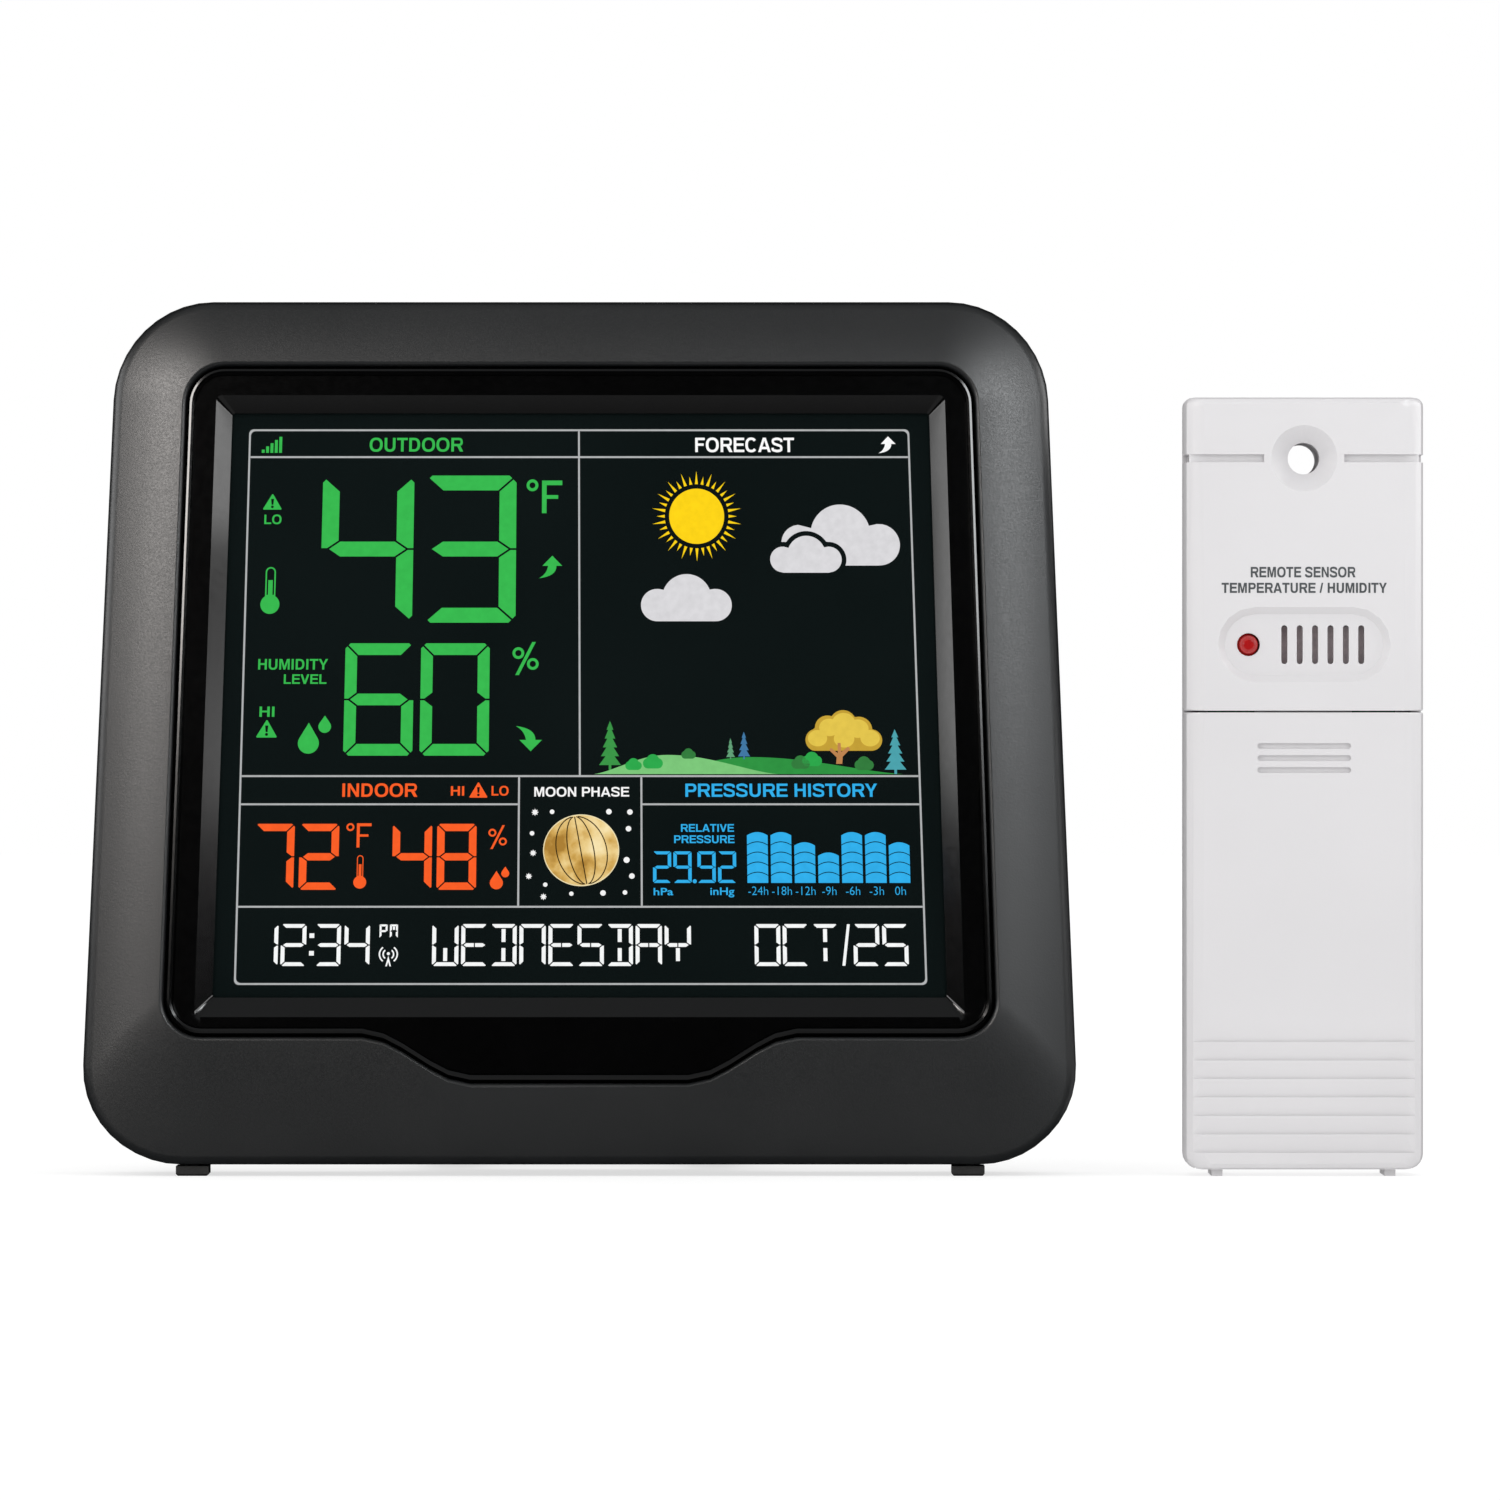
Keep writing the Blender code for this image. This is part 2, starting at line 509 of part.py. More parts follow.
def build_sensor_cover(sensor):
    low, high = SENSOR_LOW, SENSOR_SEAM - 0.15
    outer = [
        sensor_outline(3.2, low + 0.9, high, 0.0, 2.0, 0.3),
        sensor_outline(1.5, low + 0.3, high, 0.45, 2.4, 0.3),
        sensor_outline(0.45, low, high, 1.4, 2.6, 0.3),
        sensor_outline(0.0, low, high, 3.4, 2.6, 0.3),
        sensor_outline(0.0, low, high, SENSOR_SPLIT_Y, 2.6, 0.3),
    ]
    channel = box((-SENSOR_HALF + SHELL, SENSOR_HALF - SHELL), (SHELL, 12), (-5, 90))
    cuts = [channel]
    cuts += [prism(stadium(7.7, 0.475, 0, z), "y", -1, 0.6) for z in (66.9, 68.87, 70.85)]
    for step in range(7):
        z = 3.9 + 3.04 * step
        wedge = [(-1.0, z), (0.5, z), (0.0, z + 2.5), (-1.0, z + 2.5)]
        cuts.append(prism(wedge, "x", -21, 21))
    piece("sensor_battery_cover", "white_plastic", [loft(outer)], sensor, (0, 0, low), cuts=cuts)


def build_sensor_back(sensor):
    low, high, front, back = SENSOR_LOW, SENSOR_HIGH, SENSOR_SPLIT_Y + GAP, SENSOR_DEPTH
    sections = [
        sensor_outline(1.2 + SHELL, low + SHELL + 0.5, high - SHELL - 0.5, back - SHELL, 1.2, 0.6),
        sensor_outline(SHELL, low + SHELL, high - SHELL, front, 1.2, 0.6),
        sensor_outline(0.0, low, high, front),
        sensor_outline(0.7, low + 0.2, high - 0.3, back - 2.0),
        sensor_outline(1.3, low + 0.7, high - 0.8, back - 0.6),
        sensor_outline(2.2, low + 1.5, high - 1.6, back),
    ]
    half = SENSOR_HALF - SHELL - GAP
    add = [
        box((-half, half), (2.2, 12), (low + 0.1, low + SHELL)),
        box((-half - 0.2, half + 0.2), (3.0, 19.2), (8.3, 9.9)),
        box((-half - 0.2, half + 0.2), (5.2, 19.2), (67.6, 69.1)),
        box((-half, -half + 1.4), (2.4, 12), (low + 0.5, 69.0)),
        box((half - 1.4, half), (2.4, 12), (low + 0.5, 69.0)),
        turned([(4.4, front), (4.4, 19.2)], "y", (0, 0, HANG_Z)),
        turned([(3.2, front), (3.2, 19.2)], "y", (-14.2, 0, 122.6), 16),
        turned([(3.2, front), (3.2, 19.2)], "y", (14.2, 0, 122.6), 16),
    ]
    for side in (-1, 1):
        across = sorted((side * 13.35, side * 15.15))
        add.append(box(across, (2.6, 18.4), (0.0, low + 0.9)))
    cuts = [turned([(HANG_RADIUS, front - 1), (HANG_RADIUS, 24)], "y", (0, 0, HANG_Z), 40)]
    for side in (-1, 1):
        profile = [(1.3, front - 1), (1.3, 13.4), (2.5, 13.4), (2.5, 24)]
        cuts.append(turned(profile, "y", (side * 14.2, 0, 122.6), 16))
    piece("sensor_rear_shell", "white_plastic", [loft(sections)], sensor, add=add, cuts=cuts)


def build_sensor_insides(sensor):
    board = box((-15.5, 15.5), (10.1, 11.5), (70.6, 111.5))
    parts = [box((-3, 3), (8.9, 10.3), (70.9, 76.0)), box((-12, -4), (11.3, 13.0), (96, 104)),
             box((3, 11), (11.3, 14.2), (76, 82))]
    piece("sensor_board", "circuit_green", [board], sensor, add=parts)
    lamp = [(1.9, 9.8), (1.9, 8.9), (1.6, 8.9), (1.6, 1.5), (1.39, 0.7), (0.8, 0.13), (0, 0.0)]
    piece("sensor_led", "red_lens", [turned(lamp, "y", (LED_X, 0, RECESS_Z), 20)], sensor)
    piece("humidity_element", "white_plastic", [box((-4.2, 10.4), (5.2, 9.8), (84.4, 90.6))], sensor)
    cap = [(1.8, 3.0), (1.8, 5.1), (2.7, 5.1), (2.7, 6.1), (1.4, 6.1), (1.4, 8.1)]
    piece("transmit_button", "grey_button", [turned(cap, "y", (0, 0, 73.2), 20)], sensor, (0, 5.1, 73.2))
    middle = (AA_LOW + AA_HIGH) / 2
    reach = (AA_HIGH - AA_LOW) / 2
    for number, way in ((1, 1), (2, -1)):
        x = -way * AA_X
        body = [(0, -way * reach), (5.6, -way * reach), (AA_RADIUS, -way * (reach - 0.7)),
                (AA_RADIUS, way * (reach - 1.8)), (6.2, way * (reach - 1.1)), (2.7, way * (reach - 1.1)),
                (2.7, way * reach), (0, way * reach)]
        piece(f"sensor_cell_{number}", "cell_wrap", [turned(body, "z", (x, AA_Y, middle), 24)], sensor)
        base = (AA_LOW - 2.5) if way > 0 else (AA_HIGH + 2.5)
        spring = coil(4.6, 2.6, 3.0, 0.35, "z", (x, AA_Y, base), way * 1.8)
        piece(f"sensor_spring_{number}", "steel", [spring], sensor)
    link = box((-14.2, 14.2), (5.0, 16.5), (10.15, 10.5))
    piece("sensor_link_plate", "steel", [link], sensor)
    for name, x in (("plus", -AA_X), ("minus", AA_X)):
        plate = box((x - 5.5, x + 5.5), (5.6, 15.6), (66.95, 67.3))
        piece(f"sensor_contact_{name}", "steel", [plate], sensor)
    piece("sensor_antenna", "copper", [coil(2.2, 2.2, 5.0, 0.4, "x", (-11, 15.2, 92), 14, 8)], sensor)
    for number, x in ((1, -14.2), (2, 14.2)):
        profile = [(0, 3.6), (1.0, 4.4), (1.0, 13.7), (2.2, 13.7), (2.2, 14.8), (1.5, 15.4)]
        cross = [box((x - 1.1, x + 1.1), (14.8, 17), (122.3, 122.9)),
                 box((x - 0.3, x + 0.3), (14.8, 17), (121.5, 123.7))]
        screw = [turned(profile, "y", (x, 0, 122.6), 16)]
        piece(f"sensor_screw_{number}", "steel", screw, sensor, cuts=cross)


def main():
    clear_scene()
    world = frame_empty("table", (0, 0, 0), 0.0)
    display = frame_empty("display_frame", (DISPLAY_X, DISPLAY_Y, DISPLAY_RAISE), LEAN)
    sensor = frame_empty("sensor_frame", (SENSOR_X, SENSOR_Y, 0), 0.0)
    build_front_frame(display, world)
    build_screen(display)
    build_boards(display)
    build_rear_case(display)
    build_buttons(display)
    build_screws(display)
    build_battery_bay(display)
    build_feet(world)
    build_stand(display)
    build_sensor_front(sensor)
    build_sensor_cover(sensor)
    build_sensor_back(sensor)
    build_sensor_insides(sensor)


main()
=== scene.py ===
"""Looks of the desk weather station and its outdoor sensor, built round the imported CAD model."""

import json
import math

import bmesh
import bpy
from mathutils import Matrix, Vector
from mathutils.geometry import tessellate_polygon


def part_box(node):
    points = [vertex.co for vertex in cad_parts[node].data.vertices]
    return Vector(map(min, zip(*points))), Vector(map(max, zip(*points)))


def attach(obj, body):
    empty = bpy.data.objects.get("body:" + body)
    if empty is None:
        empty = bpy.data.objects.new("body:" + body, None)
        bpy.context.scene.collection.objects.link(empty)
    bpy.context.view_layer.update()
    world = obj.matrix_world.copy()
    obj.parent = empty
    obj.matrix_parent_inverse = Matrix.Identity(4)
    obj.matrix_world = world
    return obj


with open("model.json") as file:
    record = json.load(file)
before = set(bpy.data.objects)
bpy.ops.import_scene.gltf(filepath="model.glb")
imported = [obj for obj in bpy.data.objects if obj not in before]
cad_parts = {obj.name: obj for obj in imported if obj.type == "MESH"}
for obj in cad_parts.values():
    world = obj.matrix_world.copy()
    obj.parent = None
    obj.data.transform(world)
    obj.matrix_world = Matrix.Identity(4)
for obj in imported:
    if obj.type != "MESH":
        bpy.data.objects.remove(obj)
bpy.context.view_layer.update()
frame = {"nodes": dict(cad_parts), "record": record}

MM = 0.001
NODES = frame["nodes"]
SCENE = bpy.context.scene

# The display's own frame: x across, depth into the case, v up the leaning face, in millimetres.
LEAN = math.radians(8.0)
TAPER, MID_HEIGHT = 4.75e-4, 72.0
PANEL_FRONT, PANEL_LOW, PANEL_HIGH = 4.3, 25.5, 127.5
low_corner, high_corner = (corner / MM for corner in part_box("lcd_panel"))
FACE_X = (low_corner.x + high_corner.x) / 2
FACE_Y = low_corner.y - PANEL_LOW * math.sin(LEAN) - PANEL_FRONT * math.cos(LEAN)
FACE_Z = high_corner.z - PANEL_HIGH * math.cos(LEAN) + PANEL_FRONT * math.sin(LEAN)
sensor_low, sensor_high = (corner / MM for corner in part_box("sensor_front_shell"))
SENSOR_X = (sensor_low.x + sensor_high.x) / 2
SENSOR_FRONT = sensor_low.y


def on_face(x, depth, v):
    """A place on the leaning display, in metres, from its own millimetres."""
    x *= 1 - TAPER * (v - MID_HEIGHT)
    across, rise = math.sin(LEAN), math.cos(LEAN)
    return Vector((FACE_X + x, FACE_Y + v * across + depth * rise, FACE_Z + v * rise - depth * across)) * MM


def on_sensor(x, depth, z):
    """A place on the upright sensor, in metres, from its own millimetres."""
    return Vector((SENSOR_X + x, SENSOR_FRONT + depth, z)) * MM


# ---------------------------------------------------------------- materials


def nodes_of(name):
    made = bpy.data.materials.new(name)
    made.use_nodes = True
    tree = made.node_tree
    return made, tree, tree.nodes["Principled BSDF"]


def noise(tree, size, detail):
    """Noise whose features are about size millimetres across."""
    spot = tree.nodes.new("ShaderNodeTexCoord")
    grain = tree.nodes.new("ShaderNodeTexNoise")
    grain.inputs["Scale"].default_value = 1.0 / (size * MM)
    grain.inputs["Detail"].default_value = detail
    tree.links.new(spot.outputs["Object"], grain.inputs["Vector"])
    return grain.outputs["Fac"]


def ramp(tree, value, stops):
    """Colours along a 0 to 1 value."""
    made = tree.nodes.new("ShaderNodeValToRGB")
    elements = made.color_ramp.elements
    while len(elements) < len(stops):
        elements.new(0.5)
    for element, (place, colour) in zip(elements, stops):
        element.position = place
        element.color = (*colour, 1.0)
    tree.links.new(value, made.inputs["Fac"])
    return made.outputs["Color"]


def spread(tree, value, low, high):
    """Noise, which mostly lies between 0.3 and 0.7, stretched to run from low to high."""
    made = tree.nodes.new("ShaderNodeMapRange")
    made.inputs["From Min"].default_value = 0.3
    made.inputs["From Max"].default_value = 0.7
    made.inputs["To Min"].default_value = low
    made.inputs["To Max"].default_value = high
    tree.links.new(value, made.inputs["Value"])
    return made.outputs["Result"]


def bump(tree, shader, value, height):
    """Relief that stands height millimetres proud."""
    made = tree.nodes.new("ShaderNodeBump")
    made.inputs["Strength"].default_value = 1.0
    made.inputs["Distance"].default_value = height * MM
    tree.links.new(value, made.inputs["Height"])
    tree.links.new(made.outputs["Normal"], shader.inputs["Normal"])


def drift(tree, socket, size, detail, dark, light, low=0.3, high=0.7):
    """A colour that drifts between two shades, in patches about size millimetres across."""
    tree.links.new(ramp(tree, noise(tree, size, detail), [(low, dark), (high, light)]), socket)


def shades(colour, change):
    """A darker and a lighter version of a colour."""
    return [tuple(channel * (1 + sign * change) for channel in colour) for sign in (-1, 1)]


def plastic(name, colour, rough, grain, height, vary=0.12, cloud=9.0, metallic=0.0):
    """Moulded plastic, rubber or metal: cloudy colour, fine grain in bump and roughness."""
    made, tree, shader = nodes_of(name)
    drift(tree, shader.inputs["Base Color"], cloud, 4, *shades(colour, vary), 0.35, 0.65)
    fine = noise(tree, grain, 1.0)
    tree.links.new(spread(tree, fine, rough * 0.92, rough * 1.08), shader.inputs["Roughness"])
    bump(tree, shader, fine, height)
    shader.inputs["IOR"].default_value = 1.5
    shader.inputs["Metallic"].default_value = metallic
    return made


def srgb(*levels):
    """Display levels 0 to 255 as linear light."""
    return tuple(((v / 255 + 0.055) / 1.055) ** 2.4 if v > 10 else v / 255 / 12.92 for v in levels)


def ink(name, levels):
    """A lit area of the screen: its light comes from behind, with a little unevenness."""
    made, tree, shader = nodes_of(name)
    shader.inputs["Base Color"].default_value = (0.0, 0.0, 0.0, 1.0)
    shader.inputs["Specular IOR Level"].default_value = 0.0
    shader.inputs["Roughness"].default_value = 0.6
    shader.inputs["Emission Strength"].default_value = 1.0
    drift(tree, shader.inputs["Emission Color"], 1.2, 3, *shades(srgb(*levels), 0.05))
    return made


# ---------------------------------------------------------------- shapes on the screen

ART = {}


def shape(group, loops, layer=0):
    """Queue one flat shape, an outer loop and any holes in it, for a group's mesh."""
    ART.setdefault(group, []).append(("loops", loops, layer))


def clip(loop, a, b, c):
    """The part of a convex loop where a*x + b*y + c is not negative."""
    kept = []
    for (x0, y0), (x1, y1) in zip(loop, loop[1:] + loop[:1]):
        s0, s1 = a * x0 + b * y0 + c, a * x1 + b * y1 + c
        if s0 >= 0:
            kept.append((x0, y0))
        if (s0 > 0 > s1) or (s0 < 0 < s1):
            t = s0 / (s0 - s1)
            kept.append((x0 + t * (x1 - x0), y0 + t * (y1 - y0)))
    return kept


def behind(loop, start, end, gap):
    """Cut a loop along the line from start to end, keeping what lies to its left, less half a gap."""
    dx, dy = end[0] - start[0], end[1] - start[1]
    length = math.hypot(dx, dy)
    a, b = -dy / length, dx / length
    return clip(loop, a, b, -(a * start[0] + b * start[1]) - gap / 2)


def bars(width, height, upright, level, gap, corner, tip):
    """Outlines of the bars of one character, by their usual letters.

    h and j are the halves of the middle bar g, and i and l the upright bars at the centre.
    """
    mid = height / 2
    a = [(0, height - level), (width, height - level), (width, height), (0, height)]
    inner_left, inner_right = (upright, height - level), (width - upright, height - level)
    a = behind(a, (0, height), inner_left, gap)
    a = behind(a, inner_right, (width, height), gap)
    a = behind(a, (corner, height), (0, height - corner), 0)
    a = behind(a, (width, height - corner), (width - corner, height), 0)
    f = [(0, mid), (upright, mid), (upright, height), (0, height)]
    f = behind(f, inner_left, (0, height), gap)
    f = behind(f, (corner, height), (0, height - corner), 0)
    f = behind(f, (0, mid), (1, mid), gap)
    f = behind(f, (tip, mid), (upright, mid + level / 2), gap)
    half, side = level / 2, upright - tip
    g = [
        (tip, mid), (upright, mid - half), (width - upright, mid - half),
        (width - tip, mid), (width - upright, mid + half), (upright, mid + half),
    ]
    trim = gap / 2 * math.hypot(side, half)
    for across, end in ((half, tip), (-half, width - tip)):
        for rise in (side, -side):
            g = clip(g, across, rise, -across * end - rise * mid - trim)
    near, far = (width - upright) / 2, (width + upright) / 2
    foot, head = mid + half + gap, height - level - gap
    i = [(near, foot), (far, foot), (far, head), (near, head)]

    def flip_x(loop):
        return [(width - x, y) for x, y in loop]

    def flip_y(loop):
        return [(x, height - y) for x, y in loop]

    left = clip(g, -1, 0, width / 2 - gap / 2)
    return {
        "a": a, "b": flip_x(f), "c": flip_x(flip_y(f)), "d": flip_y(a), "e": flip_y(f), "f": f,
        "g": g, "h": left, "j": flip_x(left), "i": i, "l": flip_y(i),
    }


GLYPHS = {
    "0": "abcdef", "1": "bc", "2": "abged", "3": "abgcd", "4": "fgbc", "5": "afgcd", "6": "afgecd",
    "7": "abc", "8": "abcdefg", "9": "abcdfg", "A": "abcefg", "C": "afed", "D": "abcdil",
    "E": "afged", "M": "abcefi", "N": "abcef", "O": "abcdef", "P": "abgfe", "S": "afgcd", "T": "ail",
    "W": "bcdefl", "Y": "fbgl",
}


def glyph(group, letter, x, v, width, height, upright, level, gap, corner, tip, split=False):
    """One character of the segment display, with its lower left corner at x, v."""
    outlines = bars(width, height, upright, level, gap, corner, tip)
    for bar in GLYPHS[letter]:
        for name in ("hj" if split and bar == "g" else bar):
            shape(group, [[(x + px, v + py) for px, py in outlines[name]]])


def circle(x, v, radius, steps=40, tall=None):
    """A circle, or an oval where its half height is given as tall."""
    tall = radius if tall is None else tall
    turn = [2 * math.pi * i / steps for i in range(steps)]
    return [(x + radius * math.cos(a), v + tall * math.sin(a)) for a in turn]


def ring(group, x, v, radius, inner):
    shape(group, [circle(x, v, radius, 36), circle(x, v, inner, 36)])


def oblong(x0, v0, x1, v1, radius, steps=10):
    """A rectangle with rounded corners."""
    loop = []
    for cx, cv, start in ((x1 - radius, v0 + radius, -90), (x1 - radius, v1 - radius, 0),
                          (x0 + radius, v1 - radius, 90), (x0 + radius, v0 + radius, 180)):
        for step in range(steps + 1):
            angle = math.radians(start + 90 * step / steps)
            loop.append((cx + radius * math.cos(angle), cv + radius * math.sin(angle)))
    return loop


def ribbon(points, width):
    """The outline of a line of even width through the points."""
    left, right = [], []
    for index, (x, v) in enumerate(points):
        x0, v0 = points[max(index - 1, 0)]
        x1, v1 = points[min(index + 1, len(points) - 1)]
        length = math.hypot(x1 - x0, v1 - v0)
        nx, nv = -(v1 - v0) / length * width / 2, (x1 - x0) / length * width / 2
        left.append((x + nx, v + nv))
        right.append((x - nx, v - nv))
    return left + right[::-1]


def stroke(group, points, width, layer=0):
    shape(group, [ribbon(points, width)], layer)


def drop(group, x, tip, bottom, radius):
    """A drop of water from its tip down to its round bottom."""
    centre = bottom + radius
    reach = math.acos(radius / (tip - centre))
    steps = [math.pi / 2 + reach + (2 * math.pi - 2 * reach) * i / 28 for i in range(29)]
    shape(group, [[(x, tip)] + [(x + radius * math.cos(a), centre + radius * math.sin(a)) for a in steps]])


def percent(group, x0, v0, x1, v1, radius, inner, width):
    """A per cent sign in a box."""
    ring(group, x0 + radius, v1 - radius * 1.9, radius, inner)
    ring(group, x1 - radius, v0 + radius * 1.9, radius, inner)
    lean = (x1 - x0) * 0.32
    middle = (x0 + x1) / 2
    shape(group, [[(middle - lean - width / 2, v0), (middle - lean + width / 2, v0),
                   (middle + lean + width / 2, v1), (middle + lean - width / 2, v1)]])


def bent_arrow(group, x, v, size, way):
    """A curved arrow whose tip is at x, v; way is 1 to point up and -1 to point down."""
    def bend(start, control, end, steps=8):
        for step in range(steps + 1):
            t = step / steps
            yield tuple((1 - t) ** 2 * s + 2 * t * (1 - t) * c + t * t * e
                        for s, c, e in zip(start, control, end))

    loop = [(0, 0), (1.72, -1.75), (0.73, -1.75)]
    loop += bend((0.73, -1.75), (0.73, -3.55), (-2.3, -3.9))
    loop += list(bend((-2.3, -3.9), (-0.95, -3.2), (-0.73, -1.75)))[1:]
    loop += [(-1.72, -1.75)]
    shape(group, [[(x + px * size, v + way * py * size) for px, py in loop]])


def alert(group, x0, v0, x1, v1):
    """A rounded triangle with an exclamation mark cut out of it."""
    middle, tall, radius = (x0 + x1) / 2, v1 - v0, 0.16 * (x1 - x0) / 3.2
    corners = [(x0, v0), (x1, v0), (middle, v1)]
    loop = []
    for index, (cx, cv) in enumerate(corners):
        for other in (corners[index - 1], corners[(index + 1) % 3]):
            length = math.hypot(other[0] - cx, other[1] - cv)
            loop.append((cx + (other[0] - cx) * radius / length, cv + (other[1] - cv) * radius / length))
    wide = (x1 - x0) * 0.075
    mark = [(middle - wide * 0.6, v0 + tall * 0.30), (middle + wide * 0.6, v0 + tall * 0.30),
            (middle + wide, v0 + tall * 0.66), (middle - wide, v0 + tall * 0.66)]
    dot = circle(middle, v0 + tall * 0.17, wide * 0.95, 12)
    shape(group, [loop, mark, dot])


def thermometer(group, x, top, level, bulb, half, radius, line):
    """A tube on a solid bulb, open above and beside the column that fills it up to a level."""
    rise = math.asin(half / radius)
    loop = [(x + radius * math.sin(rise + (2 * math.pi - 2 * rise) * i / 30),
             bulb + radius * math.cos(rise + (2 * math.pi - 2 * rise) * i / 30)) for i in range(31)]
    loop += [(x - half * math.cos(math.pi * i / 12), top - half + half * math.sin(math.pi * i / 12))
             for i in range(13)]
    inner, column, foot = half - line, half - 2 * line, bulb + radius
    hole = [(x - inner, foot)]
    hole += [(x - inner * math.cos(math.pi * i / 10), top - half + inner * math.sin(math.pi * i / 10))
             for i in range(11)]
    hole += [(x + inner, foot), (x + column, foot), (x + column, level)]
    hole += [(x - column, level), (x - column, foot)]
    shape(group, [loop, hole])


BLOB_REACH, BLOB_STEP = 20.0, 0.1


def blob(circles, base, steps=120):
    """The outline of overlapping circles cut flat along a base, as a cloud or a tree's crown.

    Each ray from the middle is followed inwards until it meets the shape, then halved to the edge.
    """
    cx = sum(x for x, v, r in circles) / len(circles)
    cv = sum(v for x, v, r in circles) / len(circles)
    left, right = min(circles), max(circles)

    def inside(x, v):
        if v < base:
            return False
        if left[0] <= x <= right[0] and v <= min(left[1], right[1]):
            return True
        return any((x - px) ** 2 + (v - pv) ** 2 <= r * r for px, pv, r in circles)

    loop = []
    for step in range(steps):
        angle = 2 * math.pi * step / steps
        dx, dv = math.cos(angle), math.sin(angle)
        tries = (BLOB_REACH - BLOB_STEP * k for k in range(round(BLOB_REACH / BLOB_STEP)))
        near = next(reach for reach in tries if inside(cx + dx * reach, cv + dv * reach))
        far = near + BLOB_STEP
        for _ in range(8):
            middle = (near + far) / 2
            if inside(cx + dx * middle, cv + dv * middle):
                near = middle
            else:
                far = middle
        loop.append((cx + dx * near, cv + dv * near))
    return loop


def sweep(cx, cy, rx, ry, start, end, steps=14, power=0.86):
    """Points of a squarish oval between two angles in degrees."""
    points = []
    for step in range(steps + 1):
        angle = math.radians(start + (end - start) * step / steps)
        c, s = math.cos(angle), math.sin(angle)
        points.append((cx + rx * math.copysign(abs(c) ** power, c),
                       cy + ry * math.copysign(abs(s) ** power, s)))
    return points


def capital(letter, w, s, b):
    """Loops of a bold capital one unit tall and w wide, with stems s and bars b thick."""
    m, k = w / 2, 0.52
    leg = s * 1.06
    if letter == "I":
        return [[(0, 0), (w, 0), (w, 1), (0, 1)]]
    if letter == "/":
        return [[(0, 0), (s * 0.8, 0), (w, 1), (w - s * 0.8, 1)]]
    if letter == "L":
        return [[(0, 0), (w, 0), (w, b), (s, b), (s, 1), (0, 1)]]
    if letter == "T":
        return [[(m - s / 2, 0), (m + s / 2, 0), (m + s / 2, 1 - b), (w, 1 - b), (w, 1), (0, 1), (0, 1 - b),
                 (m - s / 2, 1 - b)]]
    if letter in "EF":
        arm = w * (0.93 if letter == "E" else 0.88)
        foot = [(0, 0), (w, 0), (w, b), (s, b)] if letter == "E" else [(0, 0), (s, 0)]
        return [foot + [(s, k - b / 2), (arm, k - b / 2), (arm, k + b / 2), (s, k + b / 2), (s, 1 - b),
                        (w, 1 - b), (w, 1), (0, 1)]]
    if letter == "H":
        return [[(0, 0), (s, 0), (s, k - b / 2), (w - s, k - b / 2), (w - s, 0), (w, 0), (w, 1), (w - s, 1),
                 (w - s, k + b / 2), (s, k + b / 2), (s, 1), (0, 1)]]
    if letter == "N":
        n = s * 0.93
        return [[(0, 0), (n, 0), (n, 0.68), (w - s, 0), (w, 0), (w, 1), (w - n, 1), (w - n, 0.32), (s, 1),
                 (0, 1)]]
    if letter == "M":
        n = s * 0.9
        return [[(0, 0), (n, 0), (n, 0.74), (m - s * 0.42, 0), (m + s * 0.42, 0), (w - n, 0.74), (w - n, 0),
                 (w, 0), (w, 1), (w - s * 1.36, 1), (m, 0.32), (s * 1.36, 1), (0, 1)]]
    if letter == "V":
        return [[(m - s * 0.54, 0), (m + s * 0.54, 0), (w, 1), (w - leg, 1), (m, 0.3), (leg, 1), (0, 1)]]
    if letter == "A":
        low, high = (leg + (m - leg) * level / 0.8 for level in (0.2, 0.37))
        return [[(0, 0), (leg, 0), (low, 0.2), (w - low, 0.2), (w - leg, 0), (w, 0), (m + s * 0.56, 1),
                 (m - s * 0.56, 1)], [(high, 0.37), (w - high, 0.37), (m, 0.78)]]
    if letter == "Y":
        return [[(m - s / 2, 0), (m + s / 2, 0), (m + s / 2, 0.4), (w, 1), (w - s * 1.14, 1), (m, 0.56),
                 (s * 1.14, 1), (0, 1), (m - s / 2, 0.4)]]
    if letter == "O":
        return [sweep(m, 0.5, m, 0.515, 0, 360, 47)[:-1], sweep(m, 0.5, m - s, 0.515 - b, 0, 360, 47)[:-1]]
    if letter == "C":
        outer = sweep(m, 0.5, m, 0.515, 40, 320, 40)
        return [outer + sweep(m, 0.5, m - s, 0.515 - b, 322, 38, 40)]
    if letter == "D":
        r = w * 0.55
        return [[(0, 0)] + sweep(w - r, 0.5, r, 0.5, -90, 90, 20) + [(0, 1)],
                [(s, b)] + sweep(w - r, 0.5, r - s, 0.5 - b, -90, 90, 20) + [(s, 1 - b)]]
    if letter in "PR":
        low = 0.36 if letter == "P" else 0.39
        cy, r = (1 + low) / 2, (1 - low) / 2
        hole = [(s, low + b)] + sweep(w - r, cy, r - s * 0.95, r - b, -90, 90, 14) + [(s, 1 - b)]
        if letter == "P":
            return [[(0, 0), (s, 0), (s, low)] + sweep(w - r, cy, r, r, -90, 90, 16) + [(0, 1)], hole]
        leg_top = [(w * 0.5, low), (w - s * 1.12, 0), (w + 0.02, 0), (w * 0.76, low + 0.06)]
        bowl = sweep(w - r - 0.02, cy, r, r, -55, 90, 14)
        return [[(0, 0), (s, 0), (s, low)] + leg_top + bowl + [(0, 1)], hole]
    if letter == "U":
        r = 0.38
        return [[(0, 1)] + sweep(m, r, m, r + 0.015, 180, 360, 20) + [(w, 1), (w - s, 1)]
                + sweep(m, r, m - s, r + 0.015 - b, 360, 180, 20) + [(s, 1)]]
